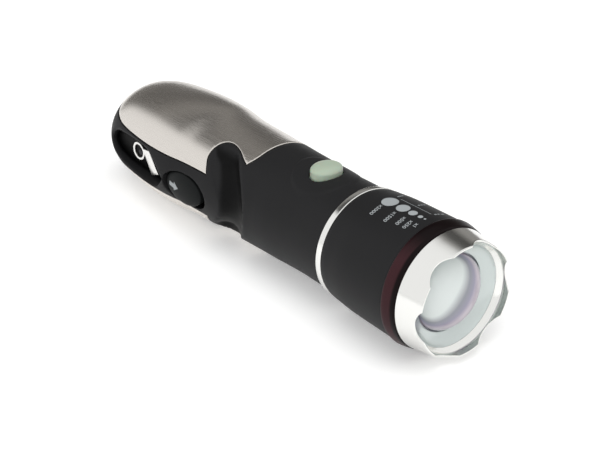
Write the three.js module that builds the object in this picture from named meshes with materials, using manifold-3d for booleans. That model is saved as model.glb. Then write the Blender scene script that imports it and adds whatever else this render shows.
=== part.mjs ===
// A pull-zoom LED torch with a set of folding tools in its steel-faced handle.
//
// Units are millimetres. X runs along the torch with the lamp at +X, Z is up, and the
// release button faces -Y. Places along X are measured from the split line, where the lamp
// unit screws into the handle. At the end the whole torch is moved so that the origin lies
// under the middle of its box.
import * as THREE from "three";
import { mergeVertices } from "three/addons/utils/BufferGeometryUtils.js";
import Module from "manifold-3d";

const wasm = await Module();
wasm.setup();

// Fits and counts
const clearance = 0.3; // between pieces that touch or slide on each other
const overrun = 3; // how far a cut runs past the face it opens
const weldDistance = 1e-4;
const bodySides = 36;
const roundSides = 24;
const smallSides = 16;
const coreSides = 24;
const tubeSides = 28;

// Handle
const handleLength = 126;
const handleHalfHeight = 19.8;
const gripWidthShare = 1.172; // width over height of the oval grip
const ovalStart = 34; // the section is round in front of this place
const ovalEnd = 60; // and fully oval behind this one
const handleStations = 20;
const coreStations = 13;
const shellWall = 0.8;
const sideStripHalfHeight = 7.9; // black strip between the two steel shells
const shellFront = 42.8;
const lobeDepth = 9.2; // how far the side lobe reaches above the strip
const lobeLength = 17.8;
const shellTailRise = 4.2;

// Side view of the handle: share of handleLength behind the split line, share of handleHalfHeight
const handleProfileShares = [
  [0, 0.968], [0.12, 0.951], [0.24, 0.972], [0.32, 0.972], [0.4, 0.945], [0.476, 0.935],
  [0.556, 0.948], [0.635, 0.994], [0.714, 0.999], [0.794, 0.962], [0.873, 0.893],
  [0.929, 0.772], [0.968, 0.561], [0.991, 0.34], [0.9995, 0.08],
];
// Lower edge of the top shell round the side lobe: share of lobeLength behind the shell's
// point, share of lobeDepth above the strip
const lobeOutlineShares = [
  [0, 0.76], [0.17, 0.84], [0.29, 0.9], [0.42, 0.945], [0.58, 0.975], [0.76, 0.985],
  [0.89, 0.955], [0.955, 0.89], [0.99, 0.79], [1, 0.66], [0.98, 0.5], [0.9, 0.31], [0.8, 0.02],
];
const shellPointShare = 0.115; // how far the shell's point stands behind its front edge, of lobeLength

// Grip groove in the side lobe, which only the near side has
const grooveReach = 45; // degrees above and below the side
const grooveFromSplit = 43.9;
const grooveLean = 8.8;
const grooveRadius = 5.8;
const grooveDepth = 3.1;
const grooveSteps = 14;
const grooveSides = 14;
// Lean of the groove toward the tail: share of grooveReach, share of grooveLean
const grooveLeanShares = [[0, 0], [0.25, 0.07], [0.5, 0.28], [0.75, 0.62], [1, 1]];

// Battery bay and the cells
const cellRadius = 5.2;
const cellLength = 43.6;
const cellNubRadius = 1.9;
const cellNubLength = 0.9;
const cellCircleRadius = 6.35;
const carrierRadius = 12.3;
const carrierDisc = 2;
const carrierStrutWidth = 3;
const carrierStrutInner = 7.6;
const spigotLength = 9;
const spigotWall = 2.1;
const contactPlate = 0.5;
const contactPlateRadius = 8;
const contactSpringRadius = 4.2;
const contactSpringWire = 0.35;
const contactSpringTurns = 3;
const contactSpringHeight = 3.2;
const centreSpringHeight = 1.6;

// Power switch
const powerFromSplit = 17.6;
const powerRadius = 5.85; // across the torch
const powerHalfLength = 4.9; // along it
const powerDome = 2;
const powerProud = 3.2;
const powerLipDepth = 1.7; // from the handle's top down to the seat of the button's flange
const powerFlange = 0.9;
const powerFlangeThickness = 0.8;
const powerTravel = 0.7;
const powerReliefRadius = 11.4;
const powerReliefHeight = 0.35;
const switchBoardThickness = 1;
const tactSide = 6;
const tactHeight = 1.2;
const plungerRadius = 1.6;
const plungerLength = 1.8;
const powerSpringRadius = 5.6;
const powerSpringWire = 0.3;
const powerSpringTurns = 2;

// Side window, release button and lock
const windowLength = 35.4;
const windowHeight = 13.9;
const windowFromSplit = 98.1; // middle of the window
const windowLift = -0.35;
const lockDepth = 15.6; // floor of the lock channel, from the middle plane
const lockSlot = 3.3; // depth of the lock channel
const lockPlateThickness = 1.2;
const releaseFromSplit = 69.4;
const releaseLift = -1.3;
const releaseHalfLength = 9.7;
const releaseHalfHeight = 5.8;
const releaseDome = 2;
const releaseTop = 22.9; // crown of the button, from the middle plane
const releaseTravel = 2.4;
const lockBarWidth = 4.6;
const lockBarLift = -3.7;
const lockChannelLead = 2; // the channel runs on past the pocket, for the spring
const lockBarFront = 62; // ends of the button's bar, behind the split
const lockBarRear = 92;
const lockArmTop = [94.9, 3]; // middle of the slanted arm's upper end: behind the split, up
const lockArmBottom = [89.8, -5.6];
const lockArmWidth = 4;
const lockEyeFromSplit = 99.2;
const lockEyeLift = 0.9;
const lockEyeWall = 0.9;
const lockPostRadius = 1;
const lockPostSeat = 4; // how far the post goes into the channel's floor
const lockStudRadius = 1;
const lockStudHeight = 0.6;
const releaseSpringRadius = 1.2;
const releaseSpringWire = 0.22;
const releaseSpringTurns = 4;

// Window outline: shares of windowLength and windowHeight from its middle
const windowOutlineShares = [
  [-0.5, -0.08], [-0.48, 0.14], [-0.42, 0.31], [-0.335, 0.43], [-0.195, 0.487], [-0.03, 0.5],
  [0.115, 0.465], [0.25, 0.385], [0.39, 0.2], [0.497, -0.03], [0.49, -0.12], [0.43, -0.3],
  [0.355, -0.47], [0.23, -0.5], [0, -0.495], [-0.195, -0.457], [-0.335, -0.378], [-0.435, -0.277],
];

// Folding tools
const toolCount = 6;
const toolThickness = 2.5;
const toolGap = 0.4;
const toolLength = 44; // pin to tip
const toolDepth = 7.5; // below the pin
const toolRise = 4.9; // above the pin
const tangRadius = 5;
const pinFromSplit = 112;
const pinDrop = 9;
const pinRadius = 2;
const pinSeat = 4; // how far the pin goes into each cheek
const bayRoof = -0.2;
const bayEndGap = 1.3; // from the tools' tips to the front wall of the bay
const shellSlotMargin = 0.5;
const backSpringThickness = 0.9;
const backSpringGap = 0.5; // between two fingers
const backSpringHeel = 12;
const lockTongueSize = 2;
const lockTongueFromPin = 18;

// Lamp unit, which stays still while the head slides
const tubeWall = 1.6;
const tubeLength = 30;
const tubeShoulder = 2.1; // ring that the boards rest on
const tubeShoulderPlace = 1.1;
const trimRingWidth = 2.4;
const trimRingChamfer = 0.35;
const boardThickness = 1.2;
const heatSinkBase = 3;
const pillarRadius = 9;
const ledBoardRadius = 8;
const ledBoardThickness = 1.5;
const ledSide = 3.5;
const ledHeight = 1.1;
const sealRadius = 0.8; // of the rubber in every O-ring
const stopRingWidth = 2;
const stopRingRise = 1.4;

// Head, which slides for the zoom
const zoomTravel = 12;
const sleeveFront = 34.9;
const sleeveTaper = 1.9; // from the sleeve's front down to its rear
const sleeveNeckStep = 1.7; // from the sleeve's front down to its neck
const sleeveNeckWall = 1.5;
const bearingClearance = 0.35;
const warningRingRadius = 22.6; // the head's fullest place: its other radii step in from here
const warningRingProud = 0.7; // over the sleeve
const warningRingWidth = 5.4;
const warningWall = 1.1;
const warningLedCount = 6;
const warningLedSize = 1.4;
const warningStrip = 0.4;
const bezelProud = 0.15; // over the sleeve
const headLength = 50.1;
const bezelTaper = 2.85; // from the bezel's rear down to the crests
const crownWall = 1.3;
const crestBevel = 0.15;
const crownDepth = 5.9; // from the crests down to the cone ring
const crestCount = 6;
const crestPhase = 23.4; // degrees from the near side to the first crest
const scallopChord = 13;
const scallopDepth = 2.6;
const lensFlange = 1.3;
const lensFlangeThickness = 1.7;
const lensDome = 6.9;
const coneWidth = 4; // from the cone ring's outside to its lip
const coneFlangeThickness = 1.2;
const spigotStep = 0.8; // from the sleeve's neck down to its thread
const reflectorRearRadius = 3;
const reflectorWall = 0.9;
const reflectorFlange = 0.6;

// Sleeve outline: share of the sleeve's length, share of the rise from rear to front radius
const sleeveOutlineShares = [
  [0, -0.1], [0.01, 0.02], [0.06, 0.16], [0.14, 0.3], [0.3, 0.58], [0.5, 0.74], [0.72, 0.86], [1, 1],
];
// Warning ring outline: share of its width, share of the bead's rise
const warningBeadShares = [[0, 0.2], [0.14, 0.75], [0.5, 1], [0.86, 0.75], [1, 0.3]];
const warningBead = 1.5;
// Lens dome: share of lensRadius, share of lensDome
const lensDomeShares = [
  [1, 0], [0.95, 0.33], [0.84, 0.6], [0.66, 0.81], [0.42, 0.94], [0.2, 0.99], [0, 1],
];

// Places that follow from the sizes above
const gripHalfWidth = handleHalfHeight * gripWidthShare;
const bayHalfWidth = (toolCount * toolThickness + (toolCount + 1) * toolGap) / 2;
const pinX = -pinFromSplit;
const pinZ = -pinDrop;
const bayFront = pinX + toolLength + bayEndGap;
const batteryRadius = carrierRadius + clearance;
const carrierLength = cellLength + cellNubLength + 2 * (carrierDisc + clearance);
const boardX = tubeShoulderPlace - clearance - boardThickness;
const carrierFront = boardX - centreSpringHeight;
const carrierRear = carrierFront - carrierLength;
const batteryFloor = carrierRear - contactPlate - contactSpringHeight - 3 * clearance;
const spigotRadius = batteryRadius + clearance + spigotWall;
const boreRadius = spigotRadius + clearance;
const powerX = -powerFromSplit;
const handleTop = handleHalfHeight * 0.953; // over the power switch
const powerTop = handleTop + powerProud;
const powerLip = handleTop - powerLipDepth;
const switchFloor = batteryRadius + clearance;
const windowX = -windowFromSplit;
const releaseX = -releaseFromSplit;
const lockFloorY = -lockDepth;
const lockRoofY = -(lockDepth + lockSlot);
const lockPlateInner = lockFloorY - (lockSlot - lockPlateThickness - clearance);
const lockChannelFront = -(releaseFromSplit - releaseHalfLength - releaseTravel - clearance) + lockChannelLead;
const eyeX = -lockEyeFromSplit;
const eyeHole = lockPostRadius + clearance + releaseTravel / 2;
const postX = eyeX + releaseTravel / 2;
const sleeveFrontRadius = warningRingRadius - warningRingProud;
const sleeveRearRadius = sleeveFrontRadius - sleeveTaper;
const sleeveNeckRadius = sleeveFrontRadius - sleeveNeckStep;
const spigotFrontRadius = sleeveNeckRadius - spigotStep;
const bezelRearRadius = sleeveFrontRadius + bezelProud;
const crestRadius = bezelRearRadius - bezelTaper;
const coneRadius = crestRadius - crownWall - clearance;
const coneLipRadius = coneRadius - coneWidth;
const lensRadius = coneLipRadius - clearance;
const trimRingRadius = sleeveRearRadius;
const tubeRadius = sleeveNeckRadius - sleeveNeckWall - clearance - stopRingRise;
const trimRingX = clearance / 2;
const sleeveRear = trimRingX + trimRingWidth + clearance;
const tubeBore = tubeRadius - tubeWall;
const sleeveBore = tubeRadius + bearingClearance;
const stopRingX = tubeLength - stopRingWidth;
const sleeveCavity = tubeRadius + stopRingRise + clearance;
const bearingEnd = stopRingX - zoomTravel - clearance;
const warningX = sleeveFront + clearance / 2;
const bezelX = warningX + warningRingWidth + clearance / 2;
const coneX = headLength - crownDepth;
const coneFlangeX = coneX - 2 * coneFlangeThickness;
const lensFlangeX = coneFlangeX - clearance - lensFlangeThickness;
const reflectorFront = lensFlangeX - clearance - 2 * sealRadius;
const lensShelfX = reflectorFront - reflectorFlange - clearance;

// ---- Solids ----

function solid(geometry) {
  const bare = new THREE.BufferGeometry();
  bare.setAttribute("position", geometry.getAttribute("position").clone());
  if (geometry.index) bare.setIndex(geometry.index.clone());
  const merged = mergeVertices(bare, weldDistance);
  const at = merged.getAttribute("position");
  const corners = [];
  for (let i = 0; i < merged.index.count; i += 3) {
    const face = [0, 1, 2].map((k) => merged.index.getX(i + k));
    if (new Set(face).size === 3) corners.push(face);
  }
  const [a, b, c] = [new THREE.Vector3(), new THREE.Vector3(), new THREE.Vector3()];
  let volume = 0;
  for (const face of corners) {
    a.fromBufferAttribute(at, face[0]);
    b.fromBufferAttribute(at, face[1]);
    c.fromBufferAttribute(at, face[2]);
    volume += a.dot(b.cross(c));
  }
  if (volume < 0) corners.forEach((face) => face.reverse());
  const triVerts = new Uint32Array(corners.flat());
  const vertProperties = new Float32Array(at.array);
  return new wasm.Manifold(new wasm.Mesh({ numProp: 3, vertProperties, triVerts }));
}

const join = (first, ...others) => others.reduce((sum, other) => sum.add(other), first);
const cut = (first, ...others) => others.reduce((rest, other) => rest.subtract(other), first);

function box(x0, x1, y0, y1, z0, z1) {
  const geometry = new THREE.BoxGeometry(x1 - x0, y1 - y0, z1 - z0);
  return solid(geometry.translate((x0 + x1) / 2, (y0 + y1) / 2, (z0 + z1) / 2));
}

// A solid turned about the X axis from a list of [place along X, radius]
function turned(profile, sides = bodySides) {
  const points = profile.map(([along, radius]) => new THREE.Vector2(radius, along));
  return solid(new THREE.LatheGeometry(points, sides).rotateZ(-Math.PI / 2));
}

const ring = (profile, sides) => turned([...profile, profile[0]], sides);

function tubeRing(x0, x1, inner, outer, sides) {
  return ring([[x0, inner], [x1, inner], [x1, outer], [x0, outer]], sides);
}

function disc(x0, x1, radius, sides) {
  return turned([[x0, 0], [x0, radius], [x1, radius], [x1, 0]], sides);
}

// An O-ring about the X axis
function oRing(x, radius, sides = roundSides) {
  const geometry = new THREE.TorusGeometry(radius, sealRadius, 6, sides);
  return solid(geometry.rotateY(Math.PI / 2).translate(x, 0, 0));
}

function cylinderY(x, z, radius, y0, y1, sides = smallSides) {
  const geometry = new THREE.CylinderGeometry(radius, radius, y1 - y0, sides);
  return solid(geometry.translate(x, (y0 + y1) / 2, z));
}

function cylinderZ(x, radius, z0, z1, sides = roundSides, halfLength = radius) {
  const geometry = new THREE.CylinderGeometry(radius, radius, z1 - z0, sides).rotateX(Math.PI / 2);
  return solid(geometry.scale(halfLength / radius, 1, 1).translate(x, 0, (z0 + z1) / 2));
}

// A side outline in X and Z, run through from y0 to y1
function sideSolid(shape, y0, y1) {
  const geometry = new THREE.ExtrudeGeometry(shape, { depth: y1 - y0, bevelEnabled: false, curveSegments: smallSides });
  return solid(geometry.rotateX(Math.PI / 2).translate(0, y1, 0));
}

const outline = (points) => new THREE.Shape(points.map(([x, z]) => new THREE.Vector2(x, z)));

// Moves every point of a closed outline outward by a distance
function grown(points, distance) {
  const area = points.reduce((sum, [x, z], i) => {
    const [nextX, nextZ] = points[(i + 1) % points.length];
    return sum + x * nextZ - nextX * z;
  }, 0);
  const side = Math.sign(area) * distance;
  return points.map(([x, z], i) => {
    const [beforeX, beforeZ] = points[(i + points.length - 1) % points.length];
    const [afterX, afterZ] = points[(i + 1) % points.length];
    const first = new THREE.Vector2(x - beforeX, z - beforeZ).normalize();
    const second = new THREE.Vector2(afterX - x, afterZ - z).normalize();
    const half = first.clone().add(second).normalize();
    const stretch = Math.max(half.dot(first), 0.5);
    return [x + (half.y * side) / stretch, z - (half.x * side) / stretch];
  });
}

// A closed solid through rings of equally many points
function loft(rings) {
  const count = rings[0].length;
  const middle = (points) => points.reduce((sum, p) => sum.add(p), new THREE.Vector3()).divideScalar(count);
  const points = [...rings.flat(), middle(rings[0]), middle(rings[rings.length - 1])];
  const [firstCap, lastCap] = [points.length - 2, points.length - 1];
  const index = [];
  for (let r = 0; r < rings.length - 1; r++) {
    for (let i = 0; i < count; i++) {
      const [a, b] = [r * count + i, r * count + ((i + 1) % count)];
      index.push(a, b, b + count, a, b + count, a + count);
    }
  }
  for (let i = 0; i < count; i++) {
    const last = (rings.length - 1) * count;
    index.push(firstCap, (i + 1) % count, i, lastCap, last + i, last + ((i + 1) % count));
  }
  const geometry = new THREE.BufferGeometry().setFromPoints(points);
  geometry.setIndex(index);
  return solid(geometry);
}

// A round wire along a coil whose axis is Z, from z0 to z1
function coil(radius, wire, turns, z0, z1, endRadius = radius) {
  const steps = Math.round(turns * 8);
  const points = Array.from({ length: steps + 1 }, (_, i) => {
    const share = i / steps;
    const angle = share * turns * 2 * Math.PI;
    const r = THREE.MathUtils.lerp(radius, endRadius, share);
    const z = THREE.MathUtils.lerp(z0 + wire, z1 - wire, share);
    return new THREE.Vector3(r * Math.cos(angle), r * Math.sin(angle), z);
  });
  const section = points.map((point, i) => {
    const before = points[Math.max(i - 1, 0)];
    const after = points[Math.min(i + 1, steps)];
    const along = after.clone().sub(before).normalize();
    const out = new THREE.Vector3(point.x, point.y, 0).normalize();
    const up = along.clone().cross(out).normalize();
    return [0, 1, 2, 3, 4].map((k) => {
      const turn = (k / 5) * 2 * Math.PI;
      const offset = out.clone().multiplyScalar(Math.cos(turn) * wire);
      return point.clone().add(offset).addScaledVector(up, Math.sin(turn) * wire);
    });
  });
  return loft(section);
}

// ---- Handle ----

function gripWidening(x) {
  const share = THREE.MathUtils.smoothstep(-x, ovalStart, ovalEnd);
  return THREE.MathUtils.lerp(1, gripWidthShare, share);
}

const handleCurve = new THREE.SplineCurve(
  handleProfileShares.map(([back, up]) => new THREE.Vector2(-back * handleLength, up * handleHalfHeight)),
);

// The handle's oval body, drawn in by an inset all over
function handleBody(inset, stations = handleStations, sides = bodySides) {
  const rings = [];
  for (let s = 0; s <= stations; s++) {
    const share = s / stations;
    const point = handleCurve.getPoint(share);
    const along = handleCurve.getTangent(share);
    const x = s === 0 ? point.x : point.x - along.y * inset;
    const radius = Math.max(point.y + along.x * inset, weldDistance * 100 + point.y * 0.02);
    const ovalRing = [];
    for (let i = 0; i < sides; i++) {
      const turn = (i / sides) * 2 * Math.PI;
      const y = radius * gripWidening(x) * Math.cos(turn);
      ovalRing.push(new THREE.Vector3(x, y, radius * Math.sin(turn)));
    }
    rings.push(ovalRing);
  }
  return loft(rings);
}

// A point on the handle's skin at an angle above the side
function skinPoint(x, angle, offset) {
  const share = -x / handleLength;
  const shares = handleProfileShares;
  const next = Math.max(1, shares.findIndex(([back]) => back >= share));
  const [back0, up0] = shares[next - 1];
  const [back1, up1] = shares[next];
  const radius = THREE.MathUtils.mapLinear(share, back0, back1, up0, up1) * handleHalfHeight + offset;
  const width = radius * gripWidening(x);
  return new THREE.Vector3(x, -width * Math.cos(angle), radius * Math.sin(angle));
}

// Side view of the zone that the top shell covers. On the far side its edge runs straight.
function shellOutline(withLobe) {
  const top = handleHalfHeight + overrun;
  const pointX = -shellFront - lobeLength * shellPointShare;
  const lobe = lobeOutlineShares.map(([back, up]) => [
    pointX - back * lobeLength,
    sideStripHalfHeight + up * lobeDepth,
  ]);
  const corner = [[-shellFront - overrun * 0.2, sideStripHalfHeight + overrun * 0.4], [pointX, sideStripHalfHeight]];
  const tail = -handleLength;
  return [
    [-shellFront + overrun * 0.2, top],
    [-shellFront, sideStripHalfHeight + lobeDepth],
    ...(withLobe ? lobe : corner),
    [tail * 0.75, sideStripHalfHeight],
    [tail * 0.87, sideStripHalfHeight + shellTailRise * 0.06],
    [tail * 0.925, sideStripHalfHeight + shellTailRise * 0.42],
    [tail * 0.962, sideStripHalfHeight + shellTailRise],
    [tail * 0.966, top],
  ];
}

// The zone of the top shell, or of the lower one with up = -1, grown by a distance
function shellZone(up, distance) {
  const wide = gripHalfWidth + overrun;
  const half = (withLobe, y0, y1) => {
    const points = grown(shellOutline(withLobe), distance);
    return sideSolid(outline(points.map(([x, z]) => [x, z * up])), y0, y1);
  };
  return join(half(true, -wide, 0), half(false, 0, wide));
}

const shell = (up) => cut(handleBody(0).intersect(shellZone(up, -clearance)), handleBody(shellWall));

const topShell = () => shell(1);

function bottomShell() {
  const halfSlot = bayHalfWidth + shellSlotMargin;
  const slot = box(
    -handleLength - overrun, bayFront + shellSlotMargin, -halfSlot, halfSlot, -handleHalfHeight - overrun, 0,
  );
  return cut(shell(-1), slot);
}

function groovePath() {
  const points = [];
  for (let i = 0; i <= grooveSteps; i++) {
    const share = (2 * i) / grooveSteps - 1;
    const reach = Math.abs(share);
    const next = Math.max(1, grooveLeanShares.findIndex(([at]) => at >= reach));
    const [at0, lean0] = grooveLeanShares[next - 1];
    const [at1, lean1] = grooveLeanShares[next];
    const lean = THREE.MathUtils.mapLinear(reach, at0, at1, lean0, lean1) * grooveLean;
    const angle = THREE.MathUtils.degToRad(share * grooveReach);
    points.push(skinPoint(-grooveFromSplit - lean, angle, grooveRadius - grooveDepth));
  }
  return points;
}

// The rounded trough that the grip groove cuts, with round ends
function grooveCutter() {
  const path = groovePath();
  const rings = path.map((point, i) => {
    const along = path[Math.min(i + 1, grooveSteps)].clone().sub(path[Math.max(i - 1, 0)]).normalize();
    const out = new THREE.Vector3(0, point.y, point.z).normalize();
    const across = along.clone().cross(out).normalize();
    const outward = across.clone().cross(along).normalize();
    return Array.from({ length: grooveSides }, (_, k) => {
      const turn = (k / grooveSides) * 2 * Math.PI;
      const offset = across.clone().multiplyScalar(Math.cos(turn) * grooveRadius);
      return point.clone().add(offset).addScaledVector(outward, Math.sin(turn) * grooveRadius);
    });
  });
  const ends = [path[0], path[grooveSteps]].map((point) => {
    const ball = new THREE.SphereGeometry(grooveRadius * 0.98, grooveSides, grooveSides / 2);
    return solid(ball.translate(point.x, point.y, point.z));
  });
  return join(loft(rings), ...ends);
}

const windowOutline = () => windowOutlineShares.map(([along, up]) => [
  windowX + along * windowLength,
  windowLift + up * windowHeight,
]);

function ellipseOutline(x, z, halfLength, halfHeight) {
  return new THREE.Shape().absellipse(x, z, halfLength, halfHeight, 0, 2 * Math.PI);
}

function lockChannel() {
  const rear = eyeX - eyeHole - lockEyeWall - clearance;
  const half = lockBarWidth / 2 + clearance;
  const low = lockBarLift - half;
  return box(rear, lockChannelFront, lockRoofY, lockFloorY, low, lockBarLift + half);
}

// The tongue's slot through the cheek, from the lock channel to the tool bay
function tongueSlot() {
  const x = pinX + lockTongueFromPin;
  const half = lockTongueSize / 2 + clearance;
  const z = tongueHeight();
  return box(x - half, x + half + releaseTravel, lockFloorY - overrun, -bayHalfWidth + overrun, z - half, z + half);
}

const springTop = pinZ + tangRadius + clearance + backSpringThickness;
const tongueHeight = () => springTop + clearance + lockTongueSize / 2;

function mainHousing() {
  const wide = gripHalfWidth + overrun;
  const skin = cut(handleBody(0), shellZone(1, 0), shellZone(-1, 0));
  const reliefDisc = cylinderZ(powerX, powerReliefRadius, 0, handleHalfHeight + overrun);
  const relief = handleBody(-powerReliefHeight).intersect(reliefDisc);
  const body = join(skin, handleBody(shellWall + clearance, coreStations, coreSides), relief);
  const bay = box(
    -handleLength - overrun, bayFront, -bayHalfWidth, bayHalfWidth, -handleHalfHeight - overrun, bayRoof,
  );
  const battery = disc(batteryFloor, overrun, batteryRadius, bodySides);
  const threadBore = disc(-spigotLength - clearance, overrun, boreRadius, bodySides);
  const switchPocket = cylinderZ(powerX, powerRadius + powerFlange + clearance, 0, powerLip);
  const powerHole = cylinderZ(
    powerX, powerRadius + clearance, 0, handleHalfHeight + overrun, roundSides, powerHalfLength + clearance,
  );
  const window = sideSolid(outline(windowOutline()), -wide, lockFloorY);
  const pocketLength = releaseHalfLength + clearance;
  const pocketHeight = releaseHalfHeight + clearance;
  const pockets = [0, releaseTravel].map((shift) =>
    sideSolid(ellipseOutline(releaseX + shift, releaseLift, pocketLength, pocketHeight), -wide, lockFloorY),
  );
  const pinBore = cylinderY(pinX, pinZ, pinRadius + clearance, -bayHalfWidth - pinSeat, bayHalfWidth + pinSeat);
  const postBore = cylinderY(postX, lockEyeLift, lockPostRadius + clearance, lockFloorY - overrun, lockFloorY + lockPostSeat);
  return cut(
    body, bay, battery, threadBore, switchPocket, powerHole, window, ...pockets, lockChannel(),
    tongueSlot(), pinBore, postBore, grooveCutter(),
  );
}

// ---- Power switch ----

function powerButton() {
  const bottom = powerLip - clearance - powerFlangeThickness;
  const profile = [[0, bottom], [powerRadius, bottom]];
  for (let i = 0; i <= 6; i++) {
    const turn = (i / 6) * (Math.PI / 2);
    profile.push([i === 6 ? 0 : Math.cos(turn) * powerRadius, powerTop - powerDome + Math.sin(turn) * powerDome]);
  }
  const points = profile.map(([radius, z]) => new THREE.Vector2(radius, z));
  const cap = new THREE.LatheGeometry(points, roundSides).rotateX(Math.PI / 2);
  cap.scale(powerHalfLength / powerRadius, 1, 1).translate(powerX, 0, 0);
  const flange = cylinderZ(powerX, powerRadius + powerFlange, bottom, bottom + powerFlangeThickness);
  const recess = cylinderZ(powerX, plungerRadius + clearance, bottom - overrun, plungerTop() + clearance, smallSides);
  return cut(join(solid(cap), flange), recess);
}

const boardTop = () => switchFloor + switchBoardThickness;
const plungerTop = () => boardTop() + clearance + powerTravel + plungerLength;

const switchBoard = () => cylinderZ(powerX, powerRadius + powerFlange, switchFloor, boardTop());

function tactSwitch() {
  const half = tactSide / 2;
  const body = box(powerX - half, powerX + half, -half, half, boardTop(), boardTop() + tactHeight);
  return cut(body, cylinderZ(powerX, plungerRadius + clearance, 0, handleHalfHeight, smallSides));
}

const switchPlunger = () => cylinderZ(powerX, plungerRadius, plungerTop() - plungerLength, plungerTop(), smallSides);

function powerSpring() {
  const top = powerLip - 2 * clearance - powerFlangeThickness;
  const wire = coil(powerSpringRadius, powerSpringWire, powerSpringTurns, boardTop() + clearance, top);
  return wire.translate([powerX, 0, 0]);
}

// ---- Lock ----

// An oval button with a straight skirt and a domed crown, facing -Y
function releaseButton() {
  const skirtTop = releaseTop - releaseDome;
  const bottom = lockDepth + lockSlot;
  const profile = [[0, bottom], [1, bottom]];
  for (let i = 0; i <= 6; i++) {
    const turn = (i / 6) * (Math.PI / 2);
    profile.push([i === 6 ? 0 : Math.cos(turn), skirtTop + Math.sin(turn) * releaseDome]);
  }
  const points = profile.map(([radius, y]) => new THREE.Vector2(radius, y));
  const dome = new THREE.LatheGeometry(points, roundSides).rotateX(Math.PI);
  dome.scale(releaseHalfLength, 1, releaseHalfHeight);
  const body = solid(dome.translate(releaseX, 0, releaseLift));
  const [half, boss] = [lockBarWidth / 2, lockBarWidth / 4];
  const [barOuter, barInner] = [lockPlateInner + clearance, lockFloorY - clearance];
  const stem = box(
    releaseX - boss, releaseX + boss, -bottom - clearance, barInner, lockBarLift - boss, lockBarLift + boss,
  );
  const bar = box(-lockBarRear, -lockBarFront, barOuter, barInner, lockBarLift - half, lockBarLift + half);
  const stud = cylinderY(studX, lockBarLift, lockStudRadius, barOuter - clearance - lockStudHeight, barInner);
  return join(body, stem, bar, stud);
}

const studX = -(lockArmTop[0] + 2 * lockArmBottom[0]) / 3;

// The steel arm that the button's bar carries, with an eye that slides along the lock post
function lockPlate() {
  const arm = lockArmWidth / 2;
  const [topX, topZ] = [-lockArmTop[0], lockArmTop[1]];
  const [lowX, lowZ] = [-lockArmBottom[0], lockArmBottom[1]];
  const [y0, y1] = [lockPlateInner - lockPlateThickness, lockPlateInner];
  const points = [[topX - arm, topZ - clearance], [topX + arm, topZ], [lowX + arm, lowZ], [lowX - arm, lowZ]];
  const eye = cylinderY(eyeX, lockEyeLift, eyeHole + lockEyeWall, y0, y1, roundSides);
  const hole = cylinderY(eyeX, lockEyeLift, eyeHole, y0 - overrun, y1 + overrun, roundSides);
  const studSeat = cylinderY(
    studX, lockBarLift, lockStudRadius + clearance, y1 - lockStudHeight - clearance, y1 + overrun,
  );
  return cut(join(sideSolid(outline(points), y0, y1), eye), hole, studSeat);
}

// The bar that rides over the tangs of all tools, carried by the lock plate
function lockTongue() {
  const x = pinX + lockTongueFromPin;
  const half = lockTongueSize / 2;
  const z = tongueHeight();
  return box(x - half, x + half, lockPlateInner + clearance, bayHalfWidth - toolGap, z - half, z + half);
}

// Its end stands flush with the plate's outer face
const lockPost = () =>
  cylinderY(postX, lockEyeLift, lockPostRadius, lockPlateInner - lockPlateThickness, lockFloorY + lockPostSeat - clearance);

function releaseSpring() {
  const [start, end] = [-lockBarFront + clearance, lockChannelFront - clearance];
  const wire = coil(releaseSpringRadius, releaseSpringWire, releaseSpringTurns, start, end);
  return wire.rotate([0, 90, 0]).translate([0, lockFloorY - lockSlot / 2, lockBarLift]);
}

// ---- Folding tools ----

// Side outlines with the pin at the origin and the tool pointing to +X.
// Shares are of toolLength along, and of toolRise up or toolDepth down.
const toolOutlineShares = {
  knife: [
    [0.08, -0.9], [0.5, -1], [0.8, -0.93], [0.93, -0.6], [1, -0.02], [0.9, 0.42], [0.78, 0.72], [0.6, 0.93],
    [0.4, 1], [0.22, 1], [0.19, 0.8], [0.12, 0.8],
  ],
  wood_saw: [[0.08, -0.9], [0.55, -1], [0.95, -0.8], [1, -0.3], [0.985, 0.55], [0.14, 0.95]],
  can_opener: [
    [0.08, -0.9], [0.6, -1], [0.93, -0.55], [0.9, -0.2], [0.8, -0.3], [0.74, 0.02], [0.78, 0.55], [0.84, 0.9],
    [0.73, 1], [0.6, 0.72], [0.5, 0.4], [0.12, 0.55],
  ],
  bottle_opener: [
    [0.08, -0.9], [0.5, -1], [0.98, -0.92], [1, -0.45], [0.92, -0.35], [0.8, -0.3], [0.76, 0.1], [0.7, 0.22],
    [0.62, 0.1], [0.58, 0.3], [0.62, 0.8], [0.5, 1], [0.12, 0.85],
  ],
  flat_driver: [
    [0.08, -0.9], [0.3, -0.95], [0.4, -0.75], [0.86, -0.7], [0.93, -0.88], [1, -0.88], [1, 0.55], [0.93, 0.55],
    [0.86, 0.3], [0.4, 0.35], [0.3, 0.7], [0.12, 0.7],
  ],
  cross_driver: [
    [0.08, -0.9], [0.3, -0.95], [0.38, -0.7], [0.88, -0.65], [0.97, -0.42], [1, -0.28], [1, 0], [0.97, 0.1],
    [0.88, 0.25], [0.38, 0.3], [0.3, 0.7], [0.12, 0.7],
  ],
};
const sawToothCount = 14;
const sawToothDepth = 1.2;
const nailNickLength = 9;
const nailNickWidth = 1.1;
const nailNickDepth = 0.5;
const bladeEdge = 0.35; // thickness left at the cutting edge

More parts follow.
